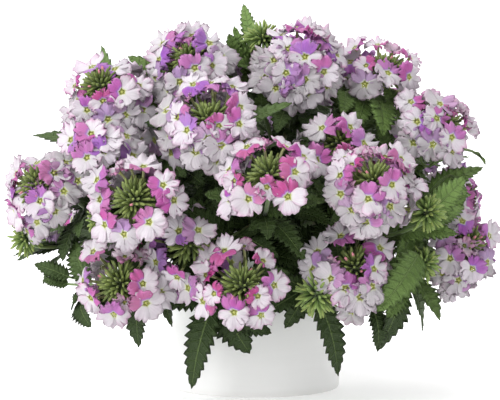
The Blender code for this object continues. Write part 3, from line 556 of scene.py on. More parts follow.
def pot_material():
    """Smooth white plastic with the faint flow marks and scuffs of a moulded pot, and painted shade at its
    foot.
    """
    made, tree, shader = material("white pot", 0.42)
    place = node(tree, "ShaderNodeTexCoord").outputs["Object"]
    stretched = node(tree, "ShaderNodeMapping", {"Vector": place, "Scale": (6, 6, 60)}).outputs[0]
    flow = node(tree, "ShaderNodeTexNoise", {"Vector": stretched, "Scale": 3.0, "Detail": 3.0}).outputs[0]
    colour = mix(tree, flow, (0.85, 0.85, 0.845), (0.88, 0.88, 0.875))
    height = node(tree, "ShaderNodeSeparateXYZ", {0: place}).outputs[2]
    # Painted shade: the pot is darker over its last 6 mm above the floor.
    colour = tinted(tree, colour, (0.62, 0.60, 0.57), ramp(tree, height, 0.006, 0.0), 0.25)
    tree.links.new(colour, shader.inputs["Base Color"])
    gloss = node(tree, "ShaderNodeMapRange", {0: noise(tree, 90, 4), 3: 0.36, 4: 0.50}).outputs[0]
    tree.links.new(gloss, shader.inputs["Roughness"])
    bump(tree, shader, noise(tree, 1600, 2), 0.12, 0.0002)
    return made


def soil_material():
    made, tree, shader = material("potting soil", 0.95)
    crumbs = noise(tree, 420, 6, 0.7)
    colour = mix(tree, ramp(tree, crumbs, 0.35, 0.65), (0.012, 0.008, 0.005), (0.075, 0.048, 0.030))
    colour = mix(tree, ramp(tree, noise(tree, 800, 2), 0.68, 0.72), colour, (0.30, 0.26, 0.20))
    tree.links.new(colour, shader.inputs["Base Color"])
    bump(tree, shader, crumbs, 1.0, 0.002)
    return made


# Which of a piece's materials are whose: in a head, and in a shoot.
TUBE_LOOK = 1
STEM_LOOK, CALYX_LOOK = 1, 2


class Build:
    """The points, faces and attributes of one piece as it grows."""

    def __init__(self):
        self.points, self.coord, self.tint = [], [], []
        self.quads, self.tris, self.quad_looks, self.tri_looks = [], [], [], []
        self.count = 0

    def add(self, points, coord, tint, quads=None, tris=None, look=0):
        points = np.asarray(points, float).reshape(-1, 3)
        amount = len(points)
        self.points.append(points)
        self.coord.append(np.broadcast_to(coord, (amount, 3)))
        self.tint.append(np.broadcast_to(tint, (amount, 3)))
        for faces, store, looks in (
            (quads, self.quads, self.quad_looks),
            (tris, self.tris, self.tri_looks),
        ):
            if faces is not None:
                store.append(np.asarray(faces) + self.count)
                looks.append(np.full(len(faces), look))
        self.count += amount

    def make(self, name, looks):
        """The finished mesh object."""
        quads = np.concatenate(self.quads)
        tris = np.concatenate(self.tris) if self.tris else np.zeros((0, 3), int)
        corners = np.concatenate((quads.ravel(), tris.ravel()))
        starts = np.concatenate((np.arange(len(quads)) * 4, quads.size + np.arange(len(tris)) * 3))
        mesh = bpy.data.meshes.new(name)
        mesh.vertices.add(self.count)
        mesh.vertices.foreach_set("co", np.concatenate(self.points).astype(np.float32).ravel())
        mesh.loops.add(len(corners))
        mesh.loops.foreach_set("vertex_index", corners.astype(np.int32))
        mesh.polygons.add(len(starts))
        mesh.polygons.foreach_set("loop_start", starts.astype(np.int32))
        mesh.polygons.foreach_set(
            "material_index", np.concatenate([*self.quad_looks, *self.tri_looks]).astype(np.int32)
        )
        mesh.update(calc_edges=True)
        mesh.polygons.foreach_set("use_smooth", np.ones(len(starts), bool))
        for key, rows in (("coord", self.coord), ("tint", self.tint)):
            values = np.ones((self.count, 4), np.float32)
            values[:, :3] = np.concatenate(rows)
            attribute = mesh.attributes.new(key, "FLOAT_COLOR", "POINT")
            attribute.data.foreach_set("color", values.ravel())
        for look in looks:
            mesh.materials.append(look)
        mesh.validate()
        obj = bpy.data.objects.new(name, mesh)
        bpy.context.scene.collection.objects.link(obj)
        return obj


def in_metres(point):
    return np.array(point) / 1000


def unit(vector):
    return vector / np.linalg.norm(vector)


def facing(angles):
    turn, rise = (math.radians(a) for a in angles)
    return np.array((math.sin(turn) * math.cos(rise), -math.cos(turn) * math.cos(rise), math.sin(rise)))


def frame_towards(axis, upward):
    """The rotation whose Z runs along axis and whose Y leans towards upward."""
    z = unit(axis)
    x = unit(np.cross(upward, z))
    return np.column_stack((x, np.cross(z, x), z))


def seat_of(end):
    """Where the stem's tip is at one of the plant's ends, and the frame there."""
    place, angles = (HEADS.get(end) or BUDS.get(end) or SPRAYS[end])[:2]
    axis = facing(angles)
    place = np.array(place)
    if end in HEADS:
        place = place - axis * SEAT_DEPTH
    return place, frame_towards(axis, np.array((0, 0, 1)))


def bezier(corners, share):
    a, b, c, d = corners
    rest = 1 - share
    return a * rest**3 + b * (3 * rest * rest * share) + c * (3 * rest * share * share) + d * share**3


def rings(path, radii, sides):
    """The points of a tube along path, ring by ring, without a twist."""
    path = np.asarray(path)
    ways = np.gradient(path, axis=0)
    side = np.array((0.3, 0.2, 0.93))
    points = []
    angles = np.arange(sides) * math.tau / sides
    for here, way, radius in zip(path, ways, radii):
        way = unit(way)
        side = side - way * side.dot(way)
        if np.linalg.norm(side) < 1e-6:
            side = np.cross(way, (1, 0, 0))
        side = unit(side)
        other = np.cross(way, side)
        points.append(here + radius * (np.outer(np.cos(angles), side) + np.outer(np.sin(angles), other)))
    return np.concatenate(points)


def tube_topology(ring_count, sides):
    quads = []
    for i in range(ring_count - 1):
        for k in range(sides):
            near = (k + 1) % sides
            quads.append((i * sides + k, i * sides + near, (i + 1) * sides + near, (i + 1) * sides + k))
    return np.array(quads)


def add_tube(build, path, radii, sides, look, tint=(0, 0, 0), chance=0.5, shares=None):
    """A closed tube with pointed ends. coord's second number runs from 0 at its start to 1 at its end."""
    count = len(path)
    points = rings(path, radii, sides)
    points = np.vstack((points, path[0], path[-1]))
    shares = np.linspace(0, 1, count) if shares is None else np.asarray(shares)
    along = np.concatenate((np.repeat(shares, sides), (shares[0], shares[-1])))
    coord = np.column_stack((np.full(len(points), 0.5), along, np.full(len(points), chance)))
    foot, top = count * sides, count * sides + 1
    near = [(k + 1) % sides for k in range(sides)]
    last = (count - 1) * sides
    tris = [(foot, near[k], k) for k in range(sides)]
    tris += [(top, last + k, last + near[k]) for k in range(sides)]
    build.add(points, coord, tint, tube_topology(count, sides), tris, look)


def shell_topology(rows, columns):
    """Faces of a thin shell: a grid of points, and under it another whose edge points are the first one's."""
    top = np.arange(rows * columns).reshape(rows, columns)
    under = top.copy()
    inner = (rows - 2) * (columns - 2)
    under[1:-1, 1:-1] = rows * columns + np.arange(inner).reshape(rows - 2, columns - 2)

    def quads_of(grid):
        return np.stack((grid[:-1, :-1], grid[1:, :-1], grid[1:, 1:], grid[:-1, 1:]), axis=-1).reshape(-1, 4)

    return quads_of(top), quads_of(under)[:, ::-1]


# A petal as a grid: how far along its rows are and how far across its columns are.
PETAL_ROWS = np.array((0, 0.14, 0.36, 0.60, 0.82, 1.0))
PETAL_COLUMNS = np.array((-1, -0.80, -0.54, -0.26, 0, 0.26, 0.54, 0.80, 1))
PETAL_QUADS = shell_topology(len(PETAL_ROWS), len(PETAL_COLUMNS))
PETAL_THICKNESS = 0.00022
THROAT_RADIUS = 0.0010
PETAL_SHAPE = ("radius", "width", "pitch", "curl", "ruffle", "roll", "notch")


def petal_grid(draw, shape):
    """Petals in their own frames, one for each entry of the shape's lists: X is across, Y is out, Z is up."""
    v = PETAL_ROWS[None, :, None]
    u = PETAL_COLUMNS[None, None, :]
    radius, width, pitch, curl, ruffle, roll, notch = (
        np.asarray(shape[key], float)[:, None, None] for key in PETAL_SHAPE
    )
    amount = len(radius)
    phase = draw.uniform(0, math.tau, (amount, 1, 1))
    teeth = draw.uniform(-1, 1, (amount, 1, len(PETAL_COLUMNS)))
    frill = draw.uniform(-1, 1, (amount, 1, len(PETAL_COLUMNS)))
    reach = radius * (1 - notch * np.exp(-((u / 0.17) ** 2)) - 0.24 * np.abs(u) ** 2.6 + 0.045 * teeth)
    out = (reach - THROAT_RADIUS) * v
    half = width * (0.26 + 0.74 * np.sin(math.pi / 2 * np.minimum(1, v / 0.80)) ** 0.95)
    half = half * (1 - 0.10 * np.maximum(0, (v - 0.78) / 0.22) ** 2)
    across = u * half
    high = radius * (0.16 * v - curl * v * v)
    high = high - 0.0004 * np.exp(-((u / 0.2) ** 2)) * v
    high = high + ruffle * v**2 * np.sin(4.6 * u + phase) + 1.4 * ruffle * v**3 * frill
    high = high + roll * across * np.sqrt(v)
    along = THROAT_RADIUS + out * np.cos(pitch) - high * np.sin(pitch)
    up = out * np.sin(pitch) + high * np.cos(pitch)
    across = np.broadcast_to(across, along.shape)
    return np.stack((across, along, up), axis=-1)


def add_petals(build, grids, angles, places, frames, age_and_shade, tint):
    """Petals turned by angles in the frames of their florets."""
    rows, columns = len(PETAL_ROWS), len(PETAL_COLUMNS)
    cos, sin = np.cos(angles)[:, None, None], np.sin(angles)[:, None, None]
    x = grids[..., 0] * sin + grids[..., 1] * cos
    y = -grids[..., 0] * cos + grids[..., 1] * sin
    flat = np.stack((x, y, grids[..., 2]), axis=-1)
    under = flat[:, 1:-1, 1:-1, :].copy()
    under[..., 2] -= PETAL_THICKNESS
    amount = len(flat)
    points = np.concatenate((flat.reshape(amount, -1, 3), under.reshape(amount, -1, 3)), axis=1)
    points = np.einsum("nij,npj->npi", frames, points) + places[:, None, :]
    across, along = np.meshgrid(PETAL_COLUMNS * 0.5 + 0.5, PETAL_ROWS)
    across = np.concatenate((across.ravel(), across[1:-1, 1:-1].ravel()))
    along = np.concatenate((along.ravel(), along[1:-1, 1:-1].ravel()))
    each = points.shape[1]
    coord = np.empty((amount, each, 3))
    coord[..., 0], coord[..., 1], coord[..., 2] = across, along, age_and_shade[:, None]
    tints = np.repeat(tint[:, None, :], each, axis=1)
    quads = np.concatenate(PETAL_QUADS)
    quads = (quads[None] + np.arange(amount)[:, None, None] * each).reshape(-1, 4)
    build.add(points.reshape(-1, 3), coord.reshape(-1, 3), tints.reshape(-1, 3), quads)


# Whorls of a head where no floret is listed, from the youngest, which stands highest, to the oldest: how many
# florets, how far out and up from the stem's tip, the tilt, and how many in ten are old.
WHORLS = (
    {"count": 6, "out": 0.0190, "up": 0.0158, "tilt": 34, "old": 0.0},
    {"count": 7, "out": 0.0252, "up": 0.0058, "tilt": 64, "old": 0.3},
    {"count": 7, "out": 0.0260, "up": -0.0055, "tilt": 94, "old": 0.9},
)
# Each kind of floret: radius, magenta of the two petals nearest the head's middle, warmth of that colour,
# pink of the edges, age, which also greys white petals as painted shade, ruffle, and pitch in degrees.
KINDS = {
    OPEN: ((0.0102, 0.0116), (0.85, 1.0), (0.0, 0.85), (0.2, 0.8), (0.0, 0.35), (0.0009, 0.0018), (-16, 24)),
    OLD: ((0.0102, 0.0116), (0.55, 0.95), (0.0, 0.5), (0.05, 0.35), (0.45, 1.0), (0.0011, 0.0020), (-22, 12)),
    YOUNG: ((0.0076, 0.0090), (0.95, 1.0), (0.75, 1.0), (0.7, 1.0), (0.0, 0.1), (0.0008, 0.0016), (6, 36)),
    ROSY: ((0.0060, 0.0074), (0.3, 0.7), (0.8, 1.0), (0.9, 1.0), (0.0, 0.2), (0.0009, 0.0015), (30, 75)),
}
# How far past a head's seat its corolla tubes meet, how near to that they end, and how far they run straight
# back from their florets.
HEART_UP = 0.0035
TUBE_FOOT = 0.003
TUBE_STRAIGHT = 0.007
# Tufts of unopened buds: the lowest direction, how many calyces, and whether they are fresh green.
TUFTS = {"head": (-0.12, 86, 0), "buds": (-0.55, 72, 1)}
# How far past a head's seat its buds radiate from, and where they stand higher than that.
TUFT_UP = 0.0118
HIGH_TUFTS = {"left_mid": 0.0175, "top_left": 0.0165, "crown_right": 0.0135}
ROSY_TIPS = 0.04
CALYX_LENGTH = 0.0135
CALYX_RADIUS = 0.00086
OPEN_CALYX_RADIUS = 0.00095
GOLDEN_ANGLE = 2.39996
PETAL_ANGLES = np.radians((90, 156, 239, 301, 24))
PETAL_REACH = np.array((1.04, 1.0, 0.95, 0.95, 1.0))
PETAL_WIDTH = np.array((0.53, 0.52, 0.43, 0.43, 0.52))
INWARD = np.array((0, 0, 1, 1, 0))
# Heads whose coloured petals are redder than most.
WARMTH = {
    "middle": 0.35, "low_mid": 0.35, "inner_right": 0.3,
    "low_left": 0.15, "right_front": 0.1, "left_front": 0.1,
}
# How far a floret keeps from the cores of other heads, which lie behind the middles of their rings, from the
# florets of other heads, and from those of its own.
HEAD_CORE = 0.016
CORE_DEPTH = 0.004
FLORET_GAP = 0.0085
OWN_GAP = 0.0125
# How loosely florets follow their places, as shares of a unit vector, and how much listed ones turn up and to
# the front.
LISTED_LOOSE = 0.24
LOOSE = 0.15
LISTED_LIFT = 0.35
LISTED_TURN = 0.45
# A floret faces backward below this share of the way to the camera. Another head hides it when that one is
# so much nearer to the camera and so near to the line of sight.
BACKWARD = -0.25
NEARER = 0.012
SIGHT_REACH = 0.018
# How far the eyes of florets are from the stem's tip: on the head's axis, and how much more at a right angle.
EYE_REACH = (0.0238, 0.0026)
YOUNG_REACH = -0.002
ROSY_REACH = 0.0195
MOST_MISS = 0.006


def eye_reach(angle, kind):
    """How far the eye of a floret is from the stem's tip, at an angle in radians from the head's axis."""
    if kind == ROSY:
        return ROSY_REACH
    nearest, more = EYE_REACH
    return nearest + more * min(1.2, angle / (math.pi / 2)) + (YOUNG_REACH if kind == YOUNG else 0)


def place_of_eye(x, y, kind, seat, turn):
    """Where the ray through a pixel of the photograph meets the dome of a head's florets, from its stem's
    tip: whole degrees round the head's axis and from it, and tenths of a millimetre."""
    dip = math.radians(CAMERA_DIP)
    ahead = np.array((0, math.cos(dip), -math.sin(dip)))
    above = np.array((0, math.sin(dip), math.cos(dip)))
    right = (x - IMAGE_SIZE[0] / 2) / FOCAL_PIXELS
    up = (IMAGE_SIZE[1] / 2 - y) / FOCAL_PIXELS
    ray = unit(ahead + right * np.array((1, 0, 0)) + up * above)
    off = CAMERA - seat
    nearest = -(off @ ray)
    reach = eye_reach(math.radians(70), kind)
    for _ in range(6):
        inside = nearest**2 - (off @ off - reach**2)
        way = unit(CAMERA + ray * (nearest - math.sqrt(max(0, inside))) - seat)
        angle = math.acos(np.clip(way @ turn[:, 2], -1, 1))
        reach = eye_reach(angle, kind)
    miss = np.linalg.norm(CAMERA + ray * nearest - seat) - reach
    local = turn.T @ way
    bearing = math.degrees(math.atan2(local[1], local[0]))
    return round(bearing), round(math.degrees(angle)), round(1000 * (reach + max(0, min(MOST_MISS, miss))), 1)


def in_view(name, place, axis):
    """Whether a floret of this head would face the camera with no other head in between."""
    way = unit(CAMERA - place)
    if axis @ way < BACKWARD:
        return False
    for other, (middle, _) in HEADS.items():
        gap = np.array(middle) - place
        nearer = gap @ way
        if other != name and nearer > NEARER and np.linalg.norm(gap - way * nearer) < SIGHT_REACH:
            return False
    return True


def core_of(name):
    place, angles = HEADS[name]
    return np.array(place) - facing(angles) * CORE_DEPTH


def farther(place, others, gap):
    return all(np.linalg.norm(place - other) > gap for other in others)


def slanted(bearing, tilt):
    """The way out at a bearing round a head's axis, and the way that is tilted so far from the axis."""
    out = np.array((math.cos(bearing), math.sin(bearing), 0))
    return out, out * math.sin(tilt) + np.array((0, 0, math.cos(tilt)))


def florets_of(name, taken, rng):
    """The florets of a head: place, rotation and kind. taken holds the places of the other heads' ones."""
    seat, turn = seat_of(name)
    found = []

    def put(place, local_axis, out, kind, loose):
        lean = np.array([rng.uniform(-loose, loose) for _ in range(3)])
        found.append((place, turn @ frame_towards(local_axis + lean, out), kind))

    for x, y, *kinds in EYES.get(name, ()):
        kind = kinds[0] if kinds else OPEN
        bearing, angle, reach = place_of_eye(x, y, kind, seat, turn)
        out, way = slanted(math.radians(bearing), math.radians(angle))
        axis = unit(way + (0, 0, LISTED_LIFT) + turn.T @ unit(CAMERA - seat) * LISTED_TURN)
        put(seat + turn @ (way * reach / 1000), axis, out, kind, LISTED_LOOSE)
    listed = bool(found)
    start = rng.uniform(0, math.tau)
    for level, whorl in enumerate(WHORLS):
        for i in range(whorl["count"]):
            bearing = start + math.tau * (i + 0.5 * level + rng.uniform(-0.1, 0.1)) / whorl["count"]
            out, axis = slanted(bearing, math.radians(whorl["tilt"] + rng.uniform(-10, 10)))
            local = out * (whorl["out"] + rng.uniform(-0.0012, 0.0012))
            place = seat + turn @ (local + np.array((0, 0, whorl["up"] + rng.uniform(-0.0015, 0.0015))))
            kind = OLD if rng.random() < whorl["old"] else OPEN
            if listed and in_view(name, place, turn @ axis):
                continue
            clear = (
                farther(place, [core_of(other) for other in HEADS if other != name], HEAD_CORE)
                and farther(place, taken, FLORET_GAP)
                and farther(place, [floret[0] for floret in found], OWN_GAP)
            )
            if clear:
                put(place, axis, out, kind, LOOSE)
    start = rng.uniform(0, math.tau)
    rosy = sum(kind == ROSY for *_, kind in found)
    for i in range(max(0, 3 - rosy)):
        bearing = start + math.tau * (i + rng.uniform(-0.2, 0.2)) / 3
        out, axis = slanted(bearing, math.radians(rng.uniform(28, 50)))
        place = seat + turn @ (axis * rng.uniform(0.0175, 0.0195))
        if not (listed and in_view(name, place, turn @ axis)):
            put(place, axis, out, ROSY, LOOSE)
    return seat, turn, found


def add_florets(build, name, found, rng, draw):
    """The petals of the florets found."""
    places, frames, tints, ages_and_shades, angles = [], [], [], [], []
    shape = {key: [] for key in PETAL_SHAPE}
    for place, rotation, kind in found:
        size, magenta, warm, edge, age_and_shade, ruffle, pitch = (rng.uniform(*spread) for spread in KINDS[kind])
        ruffles, pitches = KINDS[kind][-2:]
        spin = rng.uniform(-0.4, 0.4) * (2 if kind == OLD else 1)
        for k in range(5):
            inward = INWARD[k]
            places.append(place)
            frames.append(rotation)
            angles.append(PETAL_ANGLES[k] + spin + rng.uniform(-0.16, 0.16))
            ages_and_shades.append(min(1, age_and_shade * rng.uniform(0.8, 1.2)))
            share = magenta * rng.uniform(0.9, 1.0) if inward else rng.uniform(0.0, 0.06)
            if kind == ROSY and not inward:
                share = rng.uniform(0.05, 0.4)
            tints.append((share, min(1, warm + WARMTH.get(name, 0)), edge * rng.uniform(0.7, 1.2)))
            shape["radius"].append(size * PETAL_REACH[k] * rng.uniform(0.88, 1.10))
            shape["width"].append(size * PETAL_WIDTH[k] * rng.uniform(0.94, 1.10))
            degrees = 0.5 * pitch + 0.5 * rng.uniform(*pitches) + (6 if inward else 0)
            shape["pitch"].append(math.radians(degrees))
            shape["curl"].append(rng.uniform(0.0, 0.42) if kind != ROSY else rng.uniform(0.2, 0.8))
            shape["ruffle"].append(0.5 * ruffle + 0.5 * rng.uniform(*ruffles))
            shape["roll"].append(0.09 + rng.uniform(-0.05, 0.05))
            shape["notch"].append(rng.uniform(0.12, 0.26))
    grids = petal_grid(draw, shape)
    add_petals(
        build, grids, np.array(angles), np.array(places), np.array(frames), np.array(ages_and_shades), np.array(tints)
    )


def tube_path(place, rotation, seat, turn):
    """The corolla tube's way from a floret's throat back to the heart of its head."""
    heart = seat + turn @ np.array((0, 0, HEART_UP))
    back = place - rotation[:, 2] * TUBE_STRAIGHT
    steps = np.linspace(0, 1, 6)[:, None]
    foot = heart + unit(place - heart) * TUBE_FOOT
    return place * (1 - steps) ** 2 + back * (2 * steps * (1 - steps)) + foot * steps**2


def add_throats(build, found, seat, turn):
    """Each floret's tube, with a funnel in its mouth."""
    for place, rotation, _ in found:
        axis = rotation[:, 2]
        funnel = [place - axis * 0.0008, place - axis * 0.0002, place + axis * 0.0001]
        path = np.vstack((funnel, tube_path(place, rotation, seat, turn)[1:] - axis * 0.0004))
        radii = (0.0003, 0.0008, 0.0011, 0.0009, 0.0009, 0.0008, 0.0007, 0.0006)
        shares = (0, 0.10, 0.14, 0.35, 0.5, 0.7, 0.85, 1.0)
        add_tube(build, path, radii, 5, TUBE_LOOK, shares=shares)


def add_calyx(build, path, thick, tint, chance):
    """One calyx along a path, fattest a little above its middle, with a pointed mouth."""
    radii = np.array((0.45, 0.8, 1.0, 1.1, 1.05, 0.6)) * thick
    add_tube(build, path, radii, 5, CALYX_LOOK, tint=tint, chance=chance)


def add_tuft(build, end, kind, scale, up_from, rng):
    """Green calyces that radiate from the tip of a stem, spread evenly over the directions above lowest."""
    seat, turn = seat_of(end)
    lowest, amount, fresh = TUFTS[kind]
    spine = seat + np.linspace(-0.001, up_from + 0.006 * scale, 5)[:, None] * turn[:, 2]
    add_tube(build, spine, (STEM_TIP * ROUNDED, 0.0012, 0.0012, 0.0012, 0.0009), 8, STEM_LOOK)
    for i in range(amount):
        up = 1 - (i + 0.5) / amount * (1 - lowest)
        bearing = i * GOLDEN_ANGLE + rng.uniform(-0.12, 0.12)
        flat = math.sqrt(max(0.0, 1 - up * up))
        way = np.array((math.cos(bearing) * flat, math.sin(bearing) * flat, up))
        side = unit(np.cross(way, (0.2, 0.1, 1)))
        length = scale * (CALYX_LENGTH + 0.0012 * flat) * rng.uniform(0.80, 1.08)
        shares = np.linspace(0.16, 1, 6)
        bow = rng.uniform(-0.0012, 0.0012) * scale
        local = np.outer(shares * length, way) + np.outer(np.sin(shares * math.pi) * bow, side)
        local[:, 2] += up_from
        local[:, 2] += -0.10 * flat * (shares**2) * length
        path = seat + local @ turn.T
        rosy = 1.0 if rng.random() < ROSY_TIPS and not fresh else 0.0
        thick = CALYX_RADIUS * scale**0.5 * rng.uniform(0.85, 1.15)
        add_calyx(build, path, thick, (rosy, rng.uniform(0.0, 0.7) + 0.3 * fresh, fresh), rng.random())


# A leaf's grid: side veins run along its rows, from the rib to the teeth, the notches and the bulges between.
TEETH = 9
LEAF_COLUMNS = np.array((0, 0.16, 0.60, 1.0))
BLADE_START = 0.10
TOOTH_DEPTH = 0.30
# A leaf steeper than STEEP or higher than CROWN turns its upper side to the front or the back.
STEEP = 0.70
CROWN = 0.187
# How much wider a listed leaf is across its teeth than its width in the frame.
LISTED_BREADTH = 1.12


def leaf_rows():
    """For each row: how far along its edge end is, how wide the leaf is there, and the distance to a vein."""
    rows = [(0.0, 0.05, 1.0), (0.055, 0.06, 1.0)]
    step = (0.965 - BLADE_START) / TEETH
    for i in range(TEETH):
        for part, depth, vein in ((0.0, 1.0, 1.0), (0.42, 0.45, 0.55), (0.82, 0.0, 0.0)):
            share = BLADE_START + (i + part) * step
            wide = math.sin(math.pi * min(1, share) ** 0.74) ** 0.75
            rows.append((share, max(0.05, wide * (1 - TOOTH_DEPTH * depth)), vein))
    rows.append((0.965, 0.10, 1.0))
    rows.append((1.0, 0.015, 0.0))
    return np.array(rows)


LEAF_ROWS = leaf_rows()
LEAF_QUADS = shell_topology(len(LEAF_ROWS), 2 * len(LEAF_COLUMNS) - 1)


def add_leaf(build, root, tip, width, light, rng):
    """A toothed leaf from root to tip with puffed fields between its side veins and a keel under its rib."""
    along = tip - root
    length = np.linalg.norm(along)
    x = along / length
    middle = (root + tip) / 2
    upper = unit(middle - PLANT_HEART) * 0.7 + np.array((0, 0, 0.5))
    if x[2] > STEEP or middle[2] > CROWN:
        upper = np.array((0.4 * middle[0], -0.06 if middle[1] < 0.01 else 0.06, 0.01))
    y = unit(np.cross(upper, x))
    z = np.cross(x, y)
    across = np.concatenate((-LEAF_COLUMNS[:0:-1], LEAF_COLUMNS))
    t = np.abs(across)[None, :]
    edge_share, wide, vein = (LEAF_ROWS[:, i][:, None] for i in range(3))
    slant = 0.55 * wide * width / 2 / length
    share = np.clip(edge_share - slant * (1 - t**1.2), 0, 1)
    share[0] = 0
    side = across[None, :] * wide * width / 2
    puff = (0.0010 * (1 - vein) - 0.0003) * np.sin(math.pi * np.minimum(t, 1) ** 0.8)
    wave = 0.0010 * np.sin(share * rng.uniform(9, 15) + rng.uniform(0, 6)) * t**2 * np.sign(across)[None, :]
    twist = rng.uniform(-0.25, 0.25) * share
    high = LEAF_ARCH * length * np.sin(math.pi * share) + LEAF_TROUGH * np.abs(side) + puff + wave * wide
    high = high + twist * side
    points = root + share[..., None] * length * x + side[..., None] * y + high[..., None] * z
    keel = 0.00022 + 0.0011 * np.exp(-((t / 0.12) ** 2)) * (1 - 0.75 * share)
    under = (points - keel[..., None] * z)[1:-1, 1:-1]
    everything = np.concatenate((points.reshape(-1, 3), under.reshape(-1, 3)))
    flat_across = np.broadcast_to(across[None, :] * 0.5 + 0.5, share.shape)
    flat_vein = np.broadcast_to(vein, share.shape)
    coord = np.stack((flat_across, flat_vein, np.full(share.shape, rng.random())), axis=-1)
    tint = np.stack((np.zeros(share.shape), np.full(share.shape, light), share), axis=-1)
    under_tint = tint[1:-1, 1:-1].copy()
    under_tint[..., 0] = 1
    build.add(
        everything,
        np.concatenate((coord.reshape(-1, 3), coord[1:-1, 1:-1].reshape(-1, 3))),
        np.concatenate((tint.reshape(-1, 3), under_tint.reshape(-1, 3))),
        np.concatenate((LEAF_QUADS[0][:, ::-1], LEAF_QUADS[1][:, ::-1])),
    )


def stem_top(end):
    """Where the last straight stretch of a stem starts, and its way."""
    seat, turn = seat_of(end)
    return seat - turn[:, 2] * STRAIGHT_END, turn[:, 2]


def main_corners(end):
    """The Bezier corners of a stem that comes out of the soil."""
    seat, axis = stem_top(end)
    share = min(1, max(0, (seat[2] - LOWEST_SEAT) / (HIGHEST_SEAT - LOWEST_SEAT)))
    radius = BASE_FAR + (BASE_NEAR - BASE_FAR) * share
    bearing = math.atan2(seat[1], seat[0]) + math.radians(SWINGS.get(end, 0))
    start = np.array((math.cos(bearing) * radius, math.sin(bearing) * radius, STEM_FOOT))
    reach = np.linalg.norm(seat - start)
    lift = np.array((0, 0, MAIN_HANDLES[0] * reach + RAISED.get(end, 0)))
    return start, start + lift, seat - axis * (MAIN_HANDLES[1] * reach), seat


def fork_corners(end, main):
    """The Bezier corners of a stem that forks from the one with the corners main."""
    seat, axis = stem_top(end)
    start = bezier(main, FORK_PLACE)
    along = unit(bezier(main, FORK_PLACE + 0.05) - start)
    reach = np.linalg.norm(seat - start)
    return start, start + along * (FORK_HANDLES[0] * reach), seat - axis * (FORK_HANDLES[1] * reach), seat


def stem_points(end):
    """The points of a stem, which runs straight between them. Its corners are drawn in tenths of a millimetre
    and kept in whole ones."""
    main = next(ends[0] for ends in SHOOTS.values() if end in ends)
    corners = main_corners(main)
    if end != main:
        corners = fork_corners(end, corners)
    corners = np.round(np.round(np.array(corners) * 1000, 1)) / 1000
    shares = MAIN_SHARES if end == main else FORK_SHARES
    points = [bezier(corners, share) for share in shares]
    points.append(points[-1] + unit(corners[3] - corners[2]) * STRAIGHT_END)
    return np.array(points)


def add_stem(build, end, forked):
    points = stem_points(end)
    start = STEM_BASE * FORK_SLIMNESS if forked else STEM_BASE
    path, radii = [], []
    for i in range(len(points) - 1):
        for part in (0.0, 0.12, 0.5, 0.88):
            if i == 0 or part:
                path.append(points[i] * (1 - part) + points[i + 1] * part)
                radii.append(start + (STEM_TIP - start) * (i + part) / (len(points) - 1))
    path.append(points[-1])
    radii.append(STEM_TIP)
    add_tube(build, np.array(path), np.array(radii) * ROUNDED, 8, STEM_LOOK)


def rise(value, start, span):
    """0 up to start, then rising to 1 over the span."""
    return min(1, max(0, (value - start) / span))


def painted_leaf_light(tip, rng):
    """How light a leaf is, as painted light and shade with a random spread: pale at the top and on the right,
    dark low down and inside.
    """
    high = rise(tip[2], 0.165, 0.05)
    right = rise(tip[0], 0.032, 0.04) * rise(tip[2], 0.035, 0.02)
    return min(1, max(high, right) * rng.uniform(0.65, 1.0) + rng.uniform(0, 0.25) * rise(tip[2], 0.04, 0.04))


def add_listed_leaf(build, root, tip, width, rng):
    """A leaf whose root, tip and width are listed in millimetres."""
    root, tip = in_metres(root), in_metres(tip)
    add_leaf(build, root, tip, width / 1000 * LISTED_BREADTH, painted_leaf_light(tip, rng), rng)


def add_stalk(build, foot, root, tip):
    """A thin stalk from the stem to a leaf, into which it runs."""
    over = root + (root - tip) * 0.25
    into = root + (tip - root) * 0.08
    steps = np.linspace(0, 1, 8)[:, None]
    path = foot * (1 - steps) ** 2 + over * (2 * steps * (1 - steps)) + into * steps**2
    add_tube(build, path, np.linspace(0.0011, 0.0007, 8), 6, STEM_LOOK)


# The room of a head's florets and tuft: out from its axis, and along it from the middle of the florets.
HEAD_REACH = 0.027
HEAD_LOW = -0.009
HEAD_HIGH = 0.028
# Inner leaves: how far from the foot of a stem they start, how near its tip they end, how far they are apart,
# and how often a place for one is tried.
FIRST_ON_MAIN = 0.045
FIRST_ON_FORK = 0.012
LAST_BEFORE_TIP = 0.014
APART = (0.012, 0.017)
LEAF_TRIES = 10
# The dome in which the tips of inner leaves stay: its middle, its reach below and above that, and its radius
# below and above its waist.
DOME_MIDDLE = 0.10
DOME_DOWN, DOME_UP = 0.085, 0.118
DOME_WAIST = 0.06
DOME_NARROW, DOME_WIDE = 0.105, 0.130


def free_of_heads(points):
    """Whether points keep out of the florets and tufts of every head."""
    for place, angles in HEADS.values():
        axis = facing(angles)
        gap = points - np.array(place)
        up = gap @ axis
        flat = np.linalg.norm(gap - np.outer(up, axis), axis=1)
        if np.any((flat < HEAD_REACH) & (up > HEAD_LOW) & (up < HEAD_HIGH)):
            return False
    return True


def in_the_dome(point):
    """Whether a leaf's tip stays inside the plant's outline."""
    wide = DOME_WIDE if point[2] > DOME_WAIST else DOME_NARROW
    high = DOME_UP if point[2] > DOME_MIDDLE else DOME_DOWN
    return (point[0] / wide) ** 2 + (point[1] / wide) ** 2 + ((point[2] - DOME_MIDDLE) / high) ** 2 < 1


